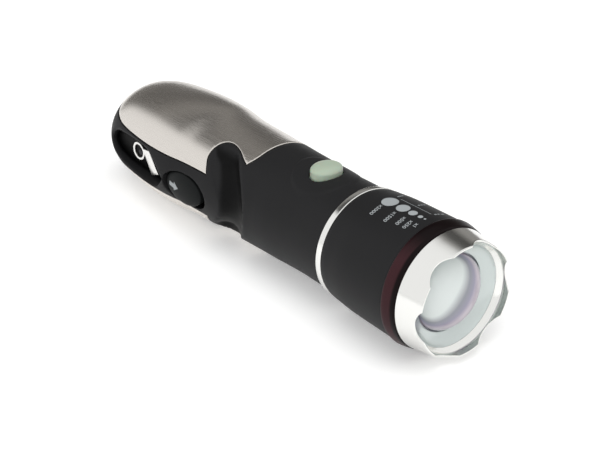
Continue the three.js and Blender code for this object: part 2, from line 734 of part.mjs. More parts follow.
function toolBlank(name, index) {
  const y0 = -bayHalfWidth + toolGap + index * (toolThickness + toolGap);
  const y1 = y0 + toolThickness;
  const points = toolOutlineShares[name].map(([along, up]) => [
    along * toolLength,
    up * (up > 0 ? toolRise : toolDepth),
  ]);
  const blade = sideSolid(outline(points), y0, y1);
  const tang = cylinderY(0, 0, tangRadius, y0, y1, roundSides);
  const heel = sideSolid(
    outline([[0, -tangRadius], [points[0][0] + tangRadius, points[0][1]],
      [points[0][0] + tangRadius, toolRise / 2], [0, toolRise / 2]]),
    y0, y1,
  );
  const bore = cylinderY(0, 0, pinRadius + clearance, y0 - overrun, y1 + overrun);
  return { body: cut(join(blade, tang, heel), bore), y0, y1 };
}

// Two long wedges that grind the knife's upper edge thin
function knifeGrind(y0, y1) {
  const [start, end] = [toolLength * 0.25, toolLength + overrun];
  const shoulder = -toolDepth * 0.25;
  const [top, middle] = [toolRise + overrun, (y0 + y1) / 2];
  return [-1, 1].map((side) => {
    const face = side < 0 ? y0 : y1;
    const edge = middle + (side * bladeEdge) / 2;
    const slope = (face - edge) / (toolRise - shoulder);
    const peak = edge - slope * overrun;
    const far = face + side * overrun;
    const shape = outline([[face, shoulder], [peak, top], [far, top], [far, shoulder]]);
    const wedge = new THREE.ExtrudeGeometry(shape, { depth: end - start, bevelEnabled: false });
    return solid(wedge.rotateX(Math.PI / 2).rotateZ(Math.PI / 2).translate(start, 0, 0));
  });
}

function sawTeeth(y0, y1) {
  const [start, end] = [toolLength * 0.26, toolLength * 0.96];
  const pitch = (end - start) / sawToothCount;
  const height = (x) => THREE.MathUtils.mapLinear(x / toolLength, 0.14, 0.985, 0.95, 0.55) * toolRise;
  return Array.from({ length: sawToothCount }, (_, i) => {
    const [x0, x1] = [start + i * pitch, start + (i + 1) * pitch];
    const low = height((x0 + x1) / 2) - sawToothDepth;
    const top = toolRise + overrun;
    const shape = outline([[x0 + pitch * 0.45, low], [x1, height(x1) + clearance], [x1, top], [x0, top],
      [x0, height(x0) + clearance]]);
    return sideSolid(shape, y0 - overrun, y1 + overrun);
  });
}

function nailNick(y0) {
  const x = toolLength * 0.55;
  const z = -toolDepth * 0.62;
  return box(
    x - nailNickLength / 2, x + nailNickLength / 2, y0 - overrun, y0 + nailNickDepth,
    z - nailNickWidth / 2, z + nailNickWidth / 2,
  );
}

function foldingTool(name, index) {
  const { body, y0, y1 } = toolBlank(name, index);
  if (name === "knife") return cut(body, ...knifeGrind(y0, y1), nailNick(y0));
  if (name === "wood_saw") return cut(body, ...sawTeeth(y0, y1), nailNick(y0));
  return cut(body, nailNick(y0));
}

const toolPin = () =>
  cylinderY(pinX, pinZ, pinRadius, -bayHalfWidth - pinSeat + clearance, bayHalfWidth + pinSeat - clearance);

// A leaf spring with one finger over each tang, held at its heel under the bay's roof
function backSpring() {
  const bottom = pinZ + tangRadius + clearance;
  const top = bottom + backSpringThickness;
  const front = bayFront - clearance;
  const rear = pinX - clearance;
  const half = bayHalfWidth - toolGap;
  const roof = bayRoof - clearance;
  const leaf = box(rear, front, -half, half, bottom, top);
  const heelBlock = box(front - backSpringHeel, front, -half, half, bottom, roof);
  const pitch = toolThickness + toolGap;
  const gaps = Array.from({ length: toolCount - 1 }, (_, i) => {
    const y = -bayHalfWidth + toolGap / 2 + (i + 1) * pitch;
    const end = front - backSpringHeel - clearance;
    return box(rear - overrun, end, y - backSpringGap / 2, y + backSpringGap / 2, bottom - overrun, top + overrun);
  });
  return cut(join(leaf, heelBlock), ...gaps);
}

// ---- Battery ----

function batteryCarrier() {
  const front = carrierFront;
  const discs = [[carrierRear, carrierRear + carrierDisc], [front - carrierDisc, front]];
  const struts = [0, 1, 2].map((i) => {
    const half = carrierStrutWidth / 2;
    const reach = Math.sqrt(carrierRadius ** 2 - half ** 2) - weldDistance;
    const strut = box(carrierRear + carrierDisc / 2, front - carrierDisc / 2, carrierStrutInner, reach, -half, half);
    return strut.rotate([i * 120 + 30, 0, 0]);
  });
  return join(...discs.map(([x0, x1]) => disc(x0, x1, carrierRadius, roundSides)), ...struts);
}

function batteryCell(i) {
  const start = carrierRear + carrierDisc + clearance;
  const nubAt = cellLength + cellNubLength;
  const body = turned([
    [0, 0], [0, cellRadius - 0.4], [0.4, cellRadius], [cellLength - 0.5, cellRadius],
    [cellLength, cellRadius - 0.5], [cellLength, cellNubRadius], [nubAt, cellNubRadius], [nubAt, 0],
  ], smallSides);
  const turnedRound = i === 1 ? body.rotate([0, 180, 0]).translate([nubAt, 0, 0]) : body;
  const angle = THREE.MathUtils.degToRad(90 + i * 120);
  const [y, z] = [Math.cos(angle) * cellCircleRadius, Math.sin(angle) * cellCircleRadius];
  return turnedRound.translate([start, y, z]);
}

const rearContactPlate = () =>
  disc(batteryFloor + clearance, batteryFloor + clearance + contactPlate, contactPlateRadius, roundSides);

function rearContactSpring() {
  const start = batteryFloor + 2 * clearance + contactPlate;
  const wire = coil(
    contactSpringRadius, contactSpringWire, contactSpringTurns, start, start + contactSpringHeight,
    contactSpringRadius / 2,
  );
  return wire.rotate([0, 90, 0]);
}

// ---- Lamp unit ----

function lampTube() {
  const bore = batteryRadius + clearance;
  const shoulderBore = bore - tubeShoulder;
  const shoulderEnd = tubeShoulderPlace + tubeShoulder;
  const groove = sealGrooveX();
  const profile = ring([
    [-spigotLength, bore], [tubeShoulderPlace, bore], [tubeShoulderPlace, shoulderBore],
    [shoulderEnd, shoulderBore], [shoulderEnd, tubeBore], [tubeLength, tubeBore], [tubeLength, tubeRadius],
    [trimRingX, tubeRadius], [trimRingX, spigotRadius], [-spigotLength, spigotRadius],
  ], tubeSides);
  const width = sealRadius + clearance / 2;
  const depth = tubeRadius + bearingClearance - clearance / 3 - 2 * sealRadius - clearance / 3;
  const zoomGroove = tubeRing(groove - width, groove + width, depth, tubeRadius + overrun, tubeSides);
  const threadGrooveX = -width - clearance;
  const threadDepth = boreRadius - clearance / 3 - 2 * sealRadius - clearance / 3;
  const threadTop = spigotRadius + clearance / 2;
  const threadGroove = tubeRing(threadGrooveX - width, threadGrooveX + width, threadDepth, threadTop, tubeSides);
  const seat = tubeRadius - clearance * 2;
  const stopGroove = tubeRing(stopRingX - clearance, tubeLength + overrun, seat, tubeRadius + overrun, tubeSides);
  return cut(profile, zoomGroove, threadGroove, stopGroove);
}

const sealGrooveX = () => bearingEnd - 3 * sealRadius;
const zoomSeal = () => oRing(sealGrooveX(), tubeRadius + bearingClearance - clearance / 3 - sealRadius);
const headSeal = () => oRing(-(sealRadius + clearance * 1.5), boreRadius - clearance / 3 - sealRadius, bodySides);

const stopRing = () =>
  tubeRing(stopRingX, tubeLength, tubeRadius - clearance, tubeRadius + stopRingRise, roundSides);

function trimRing() {
  const [x0, x1] = [trimRingX, trimRingX + trimRingWidth];
  const inner = tubeRadius + clearance;
  const edge = trimRingChamfer;
  return ring([
    [x0, inner], [x1, inner], [x1, trimRingRadius - edge], [x1 - edge, trimRingRadius],
    [x0 + edge, trimRingRadius], [x0, trimRingRadius - edge],
  ]);
}

const contactBoard = () => disc(boardX, boardX + boardThickness, batteryRadius, roundSides);

function centreContactSpring() {
  const start = carrierFront + clearance;
  const wire = coil(
    contactSpringRadius, contactSpringWire, contactSpringTurns - 1, start, boardX - clearance,
    contactSpringRadius * 0.6,
  );
  return wire.rotate([0, 90, 0]);
}

const driverX = () => tubeShoulderPlace + tubeShoulder + clearance;
const driverBoard = () => disc(driverX(), driverX() + boardThickness, tubeBore - clearance, roundSides);

function heatSink() {
  const start = driverX() + boardThickness + clearance;
  const end = tubeLength - ledBoardThickness - 2 * clearance;
  return turned([
    [start, 0], [start, tubeBore - clearance], [start + heatSinkBase, tubeBore - clearance],
    [start + heatSinkBase, pillarRadius], [end, pillarRadius], [end, 0],
  ], roundSides);
}

const ledBoardX = () => tubeLength - ledBoardThickness - clearance;
const ledBoard = () => disc(ledBoardX(), ledBoardX() + ledBoardThickness, ledBoardRadius, roundSides);

function ledEmitter() {
  const start = ledBoardX() + ledBoardThickness + weldDistance * 100;
  const base = box(start, start + ledHeight / 2, -ledSide / 2, ledSide / 2, -ledSide / 2, ledSide / 2);
  const domeRadius = ledSide * 0.4;
  const dome = [[start, 0], [start, domeRadius], [start + ledHeight / 2, domeRadius]];
  for (let i = 1; i <= 4; i++) {
    const turn = (i / 4) * (Math.PI / 2);
    dome.push([start + ledHeight / 2 + Math.sin(turn) * ledHeight, i === 4 ? 0 : Math.cos(turn) * domeRadius]);
  }
  return join(base, turned(dome, smallSides));
}

// ---- Head ----

function frontSleeve() {
  const rise = sleeveFrontRadius - sleeveRearRadius;
  const skin = sleeveOutlineShares.map(([along, up]) => [
    sleeveRear + along * (sleeveFront - sleeveRear),
    sleeveRearRadius + up * rise,
  ]);
  const neckEnd = bezelX - clearance / 2;
  const spigotEnd = coneFlangeX - clearance;
  const lensBore = lensRadius + lensFlange + clearance;
  const shelf = lensRadius - clearance;
  const cavityEnd = lensShelfX - tubeShoulder;
  return ring([
    [sleeveRear, sleeveBore], [bearingEnd, sleeveBore], [bearingEnd, sleeveCavity],
    [cavityEnd, sleeveCavity], [cavityEnd, shelf], [lensShelfX, shelf], [lensShelfX, lensBore],
    [spigotEnd, lensBore], [spigotEnd, spigotFrontRadius], [neckEnd, spigotFrontRadius],
    [neckEnd, sleeveNeckRadius], [sleeveFront, sleeveNeckRadius], ...skin.reverse(),
  ]);
}

function warningRing() {
  const base = warningRingRadius - warningBead;
  const bead = warningBeadShares.map(([along, up]) => [warningX + along * warningRingWidth, base + up * warningBead]);
  const lip = sleeveNeckRadius + clearance;
  const channel = warningRingRadius - warningWall;
  const edge = warningRingWidth * 0.16;
  const [x0, x1] = [warningX, warningX + warningRingWidth];
  return ring([
    [x0, lip], [x0 + edge, lip], [x0 + edge, channel], [x1 - edge, channel], [x1 - edge, lip], [x1, lip],
    ...bead.reverse(),
  ]);
}

function warningLeds() {
  const middle = warningX + warningRingWidth / 2;
  const inner = sleeveNeckRadius + clearance / 2;
  const strip = tubeRing(middle - warningLedSize, middle + warningLedSize, inner, inner + warningStrip);
  const reach = warningRingRadius - warningWall - clearance;
  const leds = Array.from({ length: warningLedCount }, (_, i) => {
    const half = warningLedSize / 2;
    const led = box(middle - half, middle + half, inner + warningStrip / 2, reach, -half, half);
    return led.rotate([(i * 360) / warningLedCount, 0, 0]);
  });
  return join(strip, ...leds);
}

function scallop(i) {
  const half = scallopChord / 2;
  const radius = (half ** 2 + scallopDepth ** 2) / (2 * scallopDepth);
  const geometry = new THREE.CylinderGeometry(radius, radius, crestRadius, bodySides);
  geometry.translate(0, crestRadius, 0).translate(headLength - scallopDepth + radius, 0, 0);
  const angle = crestPhase + ((i + 0.5) * 360) / crestCount;
  return solid(geometry).rotate([180 - angle, 0, 0]);
}

function bezel() {
  const threadBore = spigotFrontRadius + clearance;
  const lipX = coneFlangeX + coneFlangeThickness + clearance;
  const inner = crestRadius - crownWall;
  const slope = (share) => THREE.MathUtils.lerp(bezelRearRadius, crestRadius, share ** 1.25);
  const skin = [0.75, 0.5, 0.25, 0.06].map((share) => [
    THREE.MathUtils.lerp(bezelX, headLength, share),
    slope(share),
  ]);
  const body = ring([
    [bezelX, threadBore], [lipX, threadBore], [lipX, inner], [headLength - crestBevel, inner],
    [headLength, inner + crestBevel], [headLength, crestRadius - crestBevel], [headLength - crestBevel, crestRadius],
    ...skin, [bezelX, bezelRearRadius - clearance],
  ], 48);
  return cut(body, ...Array.from({ length: crestCount }, (_, i) => scallop(i)));
}

function coneRing() {
  const flangeEnd = coneFlangeX + coneFlangeThickness;
  return ring([
    [coneFlangeX, coneLipRadius], [coneFlangeX, spigotFrontRadius], [flangeEnd, spigotFrontRadius],
    [flangeEnd, coneRadius], [coneX, coneRadius], [coneX, coneRadius - clearance],
    [coneX - clearance, coneRadius - 1], [coneFlangeX + clearance * 2, coneLipRadius],
  ], tubeSides);
}

function lens() {
  const dome = lensDomeShares.map(([out, up]) => [lensFlangeX + lensFlangeThickness + up * lensDome, out * lensRadius]);
  const flangeRadius = lensRadius + lensFlange;
  return turned([
    [lensFlangeX, 0], [lensFlangeX, flangeRadius], [lensFlangeX + lensFlangeThickness, flangeRadius], ...dome,
  ], tubeSides);
}

// The cone behind the lens, held by its flange between the shelf and the lens seal
function reflector() {
  const rear = ledBoardX() + ledBoardThickness + ledHeight * 1.5 + 2 * clearance;
  const bore = lensRadius - 2 * clearance;
  const [x0, x1] = [reflectorFront - reflectorFlange, reflectorFront];
  return ring([
    [rear, reflectorRearRadius], [x1, bore - reflectorWall], [x1, lensRadius + lensFlange],
    [x0, lensRadius + lensFlange], [x0, bore], [rear, reflectorRearRadius + reflectorWall],
  ], tubeSides);
}

const lensSeal = () => oRing(lensFlangeX - sealRadius - clearance / 2, lensRadius + lensFlange - sealRadius);

// ---- Materials and the scene graph ----

const softBlack = { color: 0x2b2b2c, roughness: 0.62, metalness: 0 };
const brushedSteel = { color: 0x9b948b, roughness: 0.36, metalness: 1 };
const toolSteel = { color: 0xb9b7b3, roughness: 0.28, metalness: 1 };
const springSteel = { color: 0x8e8e90, roughness: 0.4, metalness: 1 };
const chrome = { color: 0xdedede, roughness: 0.09, metalness: 1 };
const clearPlastic = { color: 0xe8f2f0, roughness: 0.05, metalness: 0, transparent: true, opacity: 0.4 };
const redPlastic = { color: 0x4a0f18, roughness: 0.15, metalness: 0, transparent: true, opacity: 0.85 };
const paleGreen = { color: 0xbfd2ba, roughness: 0.45, metalness: 0 };
const whitePlastic = { color: 0xd9dcdb, roughness: 0.3, metalness: 0 };
const rubber = { color: 0x191919, roughness: 0.85, metalness: 0 };
const boardGreen = { color: 0x1d5a35, roughness: 0.5, metalness: 0 };
const aluminium = { color: 0xb6b8bb, roughness: 0.35, metalness: 1 };
const brass = { color: 0xb99a52, roughness: 0.35, metalness: 1 };
const cellSleeve = { color: 0x3a5f88, roughness: 0.35, metalness: 0.2 };
const carrierPlastic = { color: 0x17181a, roughness: 0.6, metalness: 0 };
const blackPlastic = { color: 0x202122, roughness: 0.5, metalness: 0 };
const ledYellow = { color: 0xe9d56a, roughness: 0.3, metalness: 0 };

function piece(name, body, look) {
  const { vertProperties, triVerts } = body.getMesh();
  const geometry = new THREE.BufferGeometry();
  geometry.setAttribute("position", new THREE.BufferAttribute(new Float32Array(vertProperties), 3));
  geometry.setIndex(new THREE.BufferAttribute(new Uint32Array(triVerts), 1));
  geometry.computeVertexNormals();
  const mesh = new THREE.Mesh(geometry, new THREE.MeshStandardMaterial({ ...look, flatShading: true }));
  mesh.name = name;
  return mesh;
}

function handleGroup() {
  const group = new THREE.Group();
  group.add(
    piece("main_housing", mainHousing(), softBlack),
    piece("top_shell", topShell(), brushedSteel),
    piece("bottom_shell", bottomShell(), brushedSteel),
    piece("battery_carrier", batteryCarrier(), carrierPlastic),
    ...[0, 1, 2].map((i) => piece(`battery_cell_${i + 1}`, batteryCell(i), cellSleeve)),
    piece("rear_contact_plate", rearContactPlate(), brass),
    piece("rear_contact_spring", rearContactSpring(), springSteel),
    piece("switch_board", switchBoard(), boardGreen),
    piece("tact_switch", tactSwitch(), blackPlastic),
    piece("tool_pin", toolPin(), toolSteel),
    piece("back_spring", backSpring(), springSteel),
    piece("lock_post", lockPost(), toolSteel),
  );
  return group;
}

function powerGroup() {
  const group = new THREE.Group();
  group.add(
    piece("power_button", powerButton(), paleGreen),
    piece("switch_plunger", switchPlunger(), whitePlastic),
    piece("power_spring", powerSpring(), springSteel),
  );
  return group;
}

function lockGroup() {
  const group = new THREE.Group();
  group.add(
    piece("release_button", releaseButton(), blackPlastic),
    piece("lock_plate", lockPlate(), toolSteel),
    piece("lock_tongue", lockTongue(), toolSteel),
    piece("release_spring", releaseSpring(), springSteel),
  );
  return group;
}

function toolGroup() {
  const group = new THREE.Group();
  Object.keys(toolOutlineShares).forEach((name, index) => {
    group.add(piece(name, foldingTool(name, index), toolSteel));
  });
  group.position.set(pinX, 0, pinZ);
  return group;
}

function lampGroup() {
  const group = new THREE.Group();
  group.add(
    piece("head_seal", headSeal(), rubber),
    piece("lamp_tube", lampTube(), blackPlastic),
    piece("trim_ring", trimRing(), chrome),
    piece("contact_board", contactBoard(), boardGreen),
    piece("centre_contact_spring", centreContactSpring(), springSteel),
    piece("driver_board", driverBoard(), boardGreen),
    piece("heat_sink", heatSink(), aluminium),
    piece("led_board", ledBoard(), whitePlastic),
    piece("led_emitter", ledEmitter(), ledYellow),
    piece("zoom_seal", zoomSeal(), rubber),
    piece("stop_ring", stopRing(), springSteel),
  );
  return group;
}

function headGroup() {
  const group = new THREE.Group();
  group.add(
    piece("front_sleeve", frontSleeve(), softBlack),
    piece("warning_ring", warningRing(), redPlastic),
    piece("warning_leds", warningLeds(), redPlastic),
    piece("bezel", bezel(), chrome),
    piece("cone_ring", coneRing(), whitePlastic),
    piece("lens", lens(), clearPlastic),
    piece("lens_seal", lensSeal(), rubber),
    piece("reflector", reflector(), whitePlastic),
  );
  return group;
}

const torch = new THREE.Group();
torch.add(handleGroup(), powerGroup(), lockGroup(), toolGroup(), lampGroup(), headGroup());
torch.position.set((handleLength - headLength) / 2, 0, warningRingRadius);

export default torch;
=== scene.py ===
"""A pull-zoom torch with folding tools in its handle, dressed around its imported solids.

Shapes are worked out in millimetres from the split line, where the lamp unit screws into the
handle: X runs toward the lamp, Z is up and the release button faces -Y. in_row() turns such
points into the frame's metres.
"""

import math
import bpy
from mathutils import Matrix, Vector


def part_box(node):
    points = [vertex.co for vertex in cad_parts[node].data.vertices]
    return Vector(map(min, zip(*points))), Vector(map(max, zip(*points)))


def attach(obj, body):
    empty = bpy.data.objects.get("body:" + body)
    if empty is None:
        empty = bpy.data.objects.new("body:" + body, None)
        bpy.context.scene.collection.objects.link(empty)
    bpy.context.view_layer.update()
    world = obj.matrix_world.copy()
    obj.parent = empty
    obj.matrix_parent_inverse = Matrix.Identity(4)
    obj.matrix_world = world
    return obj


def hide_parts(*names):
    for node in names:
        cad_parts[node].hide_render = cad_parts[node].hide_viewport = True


bl_info = {
    "name": "Folding-tool torch",
    "version": (1, 0, 0),
    "blender": (4, 5, 0),
    "location": "View3D > Sidebar > Torch",
    "description": "Builds the torch's visible pieces, their finishes and a plain studio",
    "category": "Object",
}

from functools import partial

import bmesh
import bpy
import numpy as np
from bpy.props import FloatProperty, FloatVectorProperty, IntProperty, PointerProperty
from bpy.types import Operator, Panel, PropertyGroup
from mathutils import Matrix, Vector
from mathutils.geometry import delaunay_2d_cdt
from mathutils.kdtree import KDTree

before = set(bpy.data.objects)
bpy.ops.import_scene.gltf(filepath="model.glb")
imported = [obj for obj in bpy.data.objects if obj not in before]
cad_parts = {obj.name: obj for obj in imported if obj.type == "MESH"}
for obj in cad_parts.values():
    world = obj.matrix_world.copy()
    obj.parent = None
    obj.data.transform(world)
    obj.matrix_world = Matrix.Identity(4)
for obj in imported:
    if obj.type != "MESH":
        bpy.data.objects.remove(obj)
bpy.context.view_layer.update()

MM = 0.001
SPLIT_POINT = np.array((37.95, 0.0, 22.6))  # the split line's centre in the row frame

# ---- Shapes that more than one piece follows ----

# Side view of the handle: share of its length behind the split, share of its half height
HANDLE_PROFILE = (
    (0, 0.968), (0.12, 0.951), (0.24, 0.972), (0.32, 0.972), (0.4, 0.945), (0.476, 0.935),
    (0.556, 0.948), (0.635, 0.994), (0.714, 0.999), (0.794, 0.962), (0.873, 0.893),
    (0.929, 0.772), (0.968, 0.561), (0.991, 0.34), (0.9995, 0.08),
)
HANDLE_LENGTH = 126.0
OVAL_START, OVAL_END = 34.0, 60.0
ROUND = 20.0  # millimetres of sheet for each radian round the handle

# The handle's mesh: the steps along its edges, and of the samples that say how far a point is from
# them, the rows beside them as shares of their rounding,
# how far other points stand clear (in roundings, and at least), the belt along the rims that stays
# fine in sunk areas, and which of the points further in are kept there
LINE_STEP, SAMPLE_STEP = 0.5, 0.1
RIM_ROWS = (0.12, 0.45, 1.0)
RIM_CLEARANCE, LEAST_CLEARANCE = 1.35, 0.35
FINE_BELT, COARSE_EVERY = 1.6, 4
WELD_DISTANCE, SLIVER_EDGE = 2e-6, 1e-7

# Lower edge of the top shell, as X and Z: the front edge, then the lobe, the strip and the tail
SHELL_FRONT = ((-42.2, 22.8), (-42.4, 19.2), (-42.9, 17.1), (-44.85, 14.9))
SHELL_LOBE = (
    (-44.85, 14.9), (-47.9, 15.65), (-50.0, 16.2), (-52.3, 16.65), (-55.2, 16.95), (-57.8, 16.96),
    (-59.7, 16.65), (-60.9, 16.05), (-61.6, 15.2), (-61.85, 13.97), (-61.45, 12.45),
    (-60.0, 10.6), (-58.2, 8.05),
)
SHELL_TAIL = (
    (-58.2, 8.05), (-70.0, 7.9), (-84.0, 7.85), (-96.0, 7.9), (-104.0, 8.0), (-110.0, 8.35),
    (-115.5, 9.4), (-119.4, 11.0), (-121.2, 12.3),
)
SHELL_END = ((-121.2, 12.3), (-121.7, 22.8))
# The far side has no lobe: its front edge runs straight down to the strip
SHELL_FAR_FRONT = (
    (-42.2, 22.8), (-42.4, 19.2), (-42.8, 17.1), (-43.0, 12.5), (-43.4, 9.8), (-44.1, 8.5),
    (-45.5, 7.95), (-58.2, 8.05),
)

# Window in the side strip, as X and Z
WINDOW = (
    (-115.8, -1.5), (-115.1, 1.6), (-113.0, 4.0), (-110.0, 5.6), (-105.0, 6.4), (-99.2, 6.8),
    (-94.0, 6.8), (-89.2, 6.15), (-84.2, 3.4), (-80.7, -0.4), (-80.5, -1.7), (-82.8, -4.5),
    (-85.5, -6.7), (-90.0, -7.3), (-98.0, -7.2), (-105.0, -6.7), (-110.0, -5.6), (-113.5, -4.2),
)

# Grip groove on the near side: degrees from the side, and its middle behind the split
GROOVE = ((0, 43.9), (11.25, 44.5), (22.5, 46.4), (33.75, 49.4), (45, 52.7), (60, 58.9))
GROOVE_ENDS = (-50, 47)
# The same groove for its shade: the grip's oval, how its middle sweeps back and the shade's ends
GROOVE_OVAL = 0.92
GROOVE_SWEEP, GROOVE_BEND = 8.8, 1.85
GROOVE_SHADE_ENDS = (-64, 60)
# Where a shade fades in, from and to: on the hollows' floors by Y, Z and X, on the warning ring by
# X and by degrees above the side
HOLLOW_DEPTH, HOLLOW_HEIGHT, HOLLOW_SIDE = (-17.3, -16.2), (7.6, 7.5), (-13, -15)
HOLLOW_BACK, HOLLOW_FRONT = (-117.6, -117.4), (-54, -55)
RING_BY_CROWN, RING_BY_SLEEVE, RING_TOP = (-0.5, 0.6), (34.6, 34.2), (40, 75)

# Side outlines of the tools with the pin at the origin: shares of the length, rise and depth
TOOL_OUTLINES = {
    "knife": (
        (0.08, -0.9), (0.5, -1), (0.8, -0.93), (0.93, -0.6), (1, -0.02), (0.9, 0.42), (0.78, 0.72),
        (0.6, 0.93), (0.4, 1), (0.22, 1), (0.19, 0.8), (0.12, 0.8),
    ),
    "wood_saw": ((0.08, -0.9), (0.55, -1), (0.95, -0.8), (1, -0.3), (0.985, 0.55), (0.14, 0.95)),
    "can_opener": (
        (0.08, -0.9), (0.6, -1), (0.93, -0.55), (0.9, -0.2), (0.8, -0.3), (0.74, 0.02),
        (0.78, 0.55), (0.84, 0.9), (0.73, 1), (0.6, 0.72), (0.5, 0.4), (0.12, 0.55),
    ),
    "bottle_opener": (
        (0.08, -0.9), (0.5, -1), (0.98, -0.92), (1, -0.45), (0.92, -0.35), (0.8, -0.3), (0.76, 0.1),
        (0.7, 0.22), (0.62, 0.1), (0.58, 0.3), (0.62, 0.8), (0.5, 1), (0.12, 0.85),
    ),
    "flat_driver": (
        (0.08, -0.9), (0.3, -0.95), (0.4, -0.75), (0.86, -0.7), (0.93, -0.88), (1, -0.88),
        (1, 0.55), (0.93, 0.55), (0.86, 0.3), (0.4, 0.35), (0.3, 0.7), (0.12, 0.7),
    ),
    "cross_driver": (
        (0.08, -0.9), (0.3, -0.95), (0.38, -0.7), (0.88, -0.65), (0.97, -0.42), (1, -0.28), (1, 0),
        (0.97, 0.1), (0.88, 0.25), (0.38, 0.3), (0.3, 0.7), (0.12, 0.7),
    ),
}

# What a polished surface sees of the room, from the far side to the lamp side: place and brightness
ROOM_DIRECTION = (0.958, -0.202, 0.202)
ROOM = (
    (-1.0, 0.2), (-0.83, 0.18), (-0.75, 0.1), (-0.7, 0.13), (-0.66, 0.28), (-0.57, 0.3),
    (-0.51, 0.17), (-0.46, 0.06), (-0.38, 0.07), (-0.325, 0.25), (-0.27, 0.95), (-0.22, 1.0),
)
# The bright window beside the grip: its direction, and where its edge starts and ends
BRIGHT_DIRECTION = (-0.638, -0.77, 0.0)
BRIGHT_EDGE = (0.6, 0.7)

# The lens's colour from face on to edge on: a violet tint toward the edge, with a darker grey band
# there that is a painted reflection
LENS_TINT_AND_REFLECTION = (
    (0.0, (1, 1, 1)), (0.28, (1, 1, 1)), (0.4, (0.33, 0.32, 0.38)), (0.5, (0.36, 0.31, 0.45)),
    (0.62, (0.7, 0.56, 0.68)),
)

# The stage: where the ring touches the floor, the floor's half side in metres, clearance, glow and
# colour, and the lamps with their place, aim, side and setting
RING_CONTACT_X = 37.7
FLOOR_SIDE, FLOOR_GAP, FLOOR_GLOW = 6.0, 0.00002, 0.3
FLOOR_COLOUR = (0.86, 0.86, 0.855, 1)
LAMPS = (
    ("key_softbox", (0.15, -0.1, 1.1), (0.0, 0.0, 0.0), 1.1, "key_power"),
    ("fill_softbox", (0.5, -0.75, 0.45), (0.0, 0.0, 0.02), 0.8, "fill_power"),
)
CAMERA_TARGET = (-28.816, 0, -8.007)

# Sizes that the CAD solids set and that stay as they are
POWER_X = -17.6
POWER_HALF = (4.9, 5.85)
# The power button's hollow underside and flange: height over the underside, and radius
POWER_RIM = ((0.6, 0.001), (0.6, 6.2), (0, 6.2), (0, 6.6), (0.15, 6.75), (0.65, 6.75), (0.8, 6.6))
POWER_RELIEF_RADIUS = 11.4
POWER_RELIEF_RISE, POWER_RELIEF_EDGE = 0.35, 0.7
POWER_LIP = 17.17
RELEASE_AT = (-69.4, -1.3)
RELEASE_HALF = (9.7, 5.8)
RELEASE_TRAVEL = 2.4
# The printed arrow, then the lock's eye, arm and bar, as X and Z, and their levels in Y
ARROW = ((0, 0.8), (2.9, 0.8), (2.9, 1.75), (5.5, 0), (2.9, -1.75), (2.9, -0.8), (0, -0.8))
ARROW_AT, ARROW_LEAN = (-75.7, -0.8), -3
EYE_AT, EYE_RADIUS, EYE_HOLE = (-99.2, 0.9), 3.4, 2.5
LOCK_ARM = ((-96.8, 2.75), (-93.0, 3.2), (-87.8, -4.3), (-91.8, -5.9))
LOCK_BAR = ((-92, -6), (-64.5, -6), (-64.5, -1.4), (-92, -1.4))
ARM_LEVELS, BAR_LEVELS, STEM_LEVELS = (-18.6, -17.4), (-17.1, -15.9), (-18.95, -17.0)
# The lock's channel: floor and roof as distance from the middle plane, its Z and its X at both ends
LOCK_FLOOR = 15.6
LOCK_ROOF = 18.9
LOCK_CHANNEL = (-6.3, -1.1)
LOCK_CHANNEL_ENDS = ((-86.5, -76.0), (-59.0, -55.0))
# The tools' pin, their bay and their sizes
PIN_AT = (-112.0, -9.0)
BAY_HALF_WIDTH = 8.9
BAY_FRONT = -66.7
BAY_ROOF = -0.2
FIT = 0.3
TOOL_LENGTH, TOOL_RISE, TOOL_DEPTH = 44.0, 4.9, 7.5
TOOL_THICKNESS, TOOL_GAP = 2.5, 0.4
TANG_RADIUS, PIN_HOLE = 5, 2.3
# The shells, the mouth, and the head's pieces
SHELL_WALL = 0.8
SLOT_LIP = 0.5  # how far the lower shell stands back from the tool slot
MOUTH_BORE = 15.3
SLEEVE_START, SLEEVE_LENGTH = 2.85, 30.95
SLEEVE_RADIUS, SLEEVE_RISE = 20, 1.8
LENS_RADIUS = 13.3
SEAL_HALF = 0.8
THREAD_PITCH, THREAD_ROOT, THREAD_DEPTH = 1.5, 14.55, 0.42
HEAD_LENGTH = 50.1
CREST_COUNT = 6
CREST_PHASE = 23.4

# Turned profiles as X and radius, some with a corner's own rounding. The sleeve's outline is given
# as shares of its length and rise.
BORE = ((0, MOUTH_BORE), (-9.3, MOUTH_BORE), (-9.3, 12.6), (-10.5, 12.6))
TRIM = (
    (0.15, 17.3), (2.55, 17.3), (2.55, 19.8, 0.45), (2.35, 20.0, 0.3), (0.35, 20.0, 0.3),
    (0.15, 19.8, 0.45),
)
SLEEVE_OUTLINE = (
    (0, -0.1), (0.01, 0.02), (0.06, 0.16), (0.14, 0.3), (0.3, 0.58), (0.5, 0.74), (0.72, 0.86),
    (0.985, 0.99), (1, 0.93),
)
SLEEVE_INSIDE = (
    (33.8, 20.2, 0), (39.6, 20.2), (39.6, 19.4), (41.5, 19.4), (41.5, 14.9), (37.0, 14.9),
    (37.0, 13.0), (34.9, 13.0), (34.9, 18.7), (15.7, 18.7), (15.7, 17.35), (2.85, 17.35),
)
WARNING_BEAD = (
    (33.95, 20.9), (34.02, 21.7), (34.3, 22.1), (34.8, 22.24), (35.6, 22.2), (36.8, 22.0),
    (38.0, 21.75), (39.1, 21.52), (39.6, 21.25), (39.7, 20.9),
)
WARNING_UNDER = (
    (39.7, 20.5), (39.3, 20.5), (39.3, 21.25), (35.9, 21.4), (35.9, 20.5), (33.95, 20.5),
)
CROWN_BOWL = (
    (45.3, 17.9), (46.0, 18.55), (46.8, 19.25), (47.6, 19.5), (48.8, 19.42), (50.1, 19.25),
)
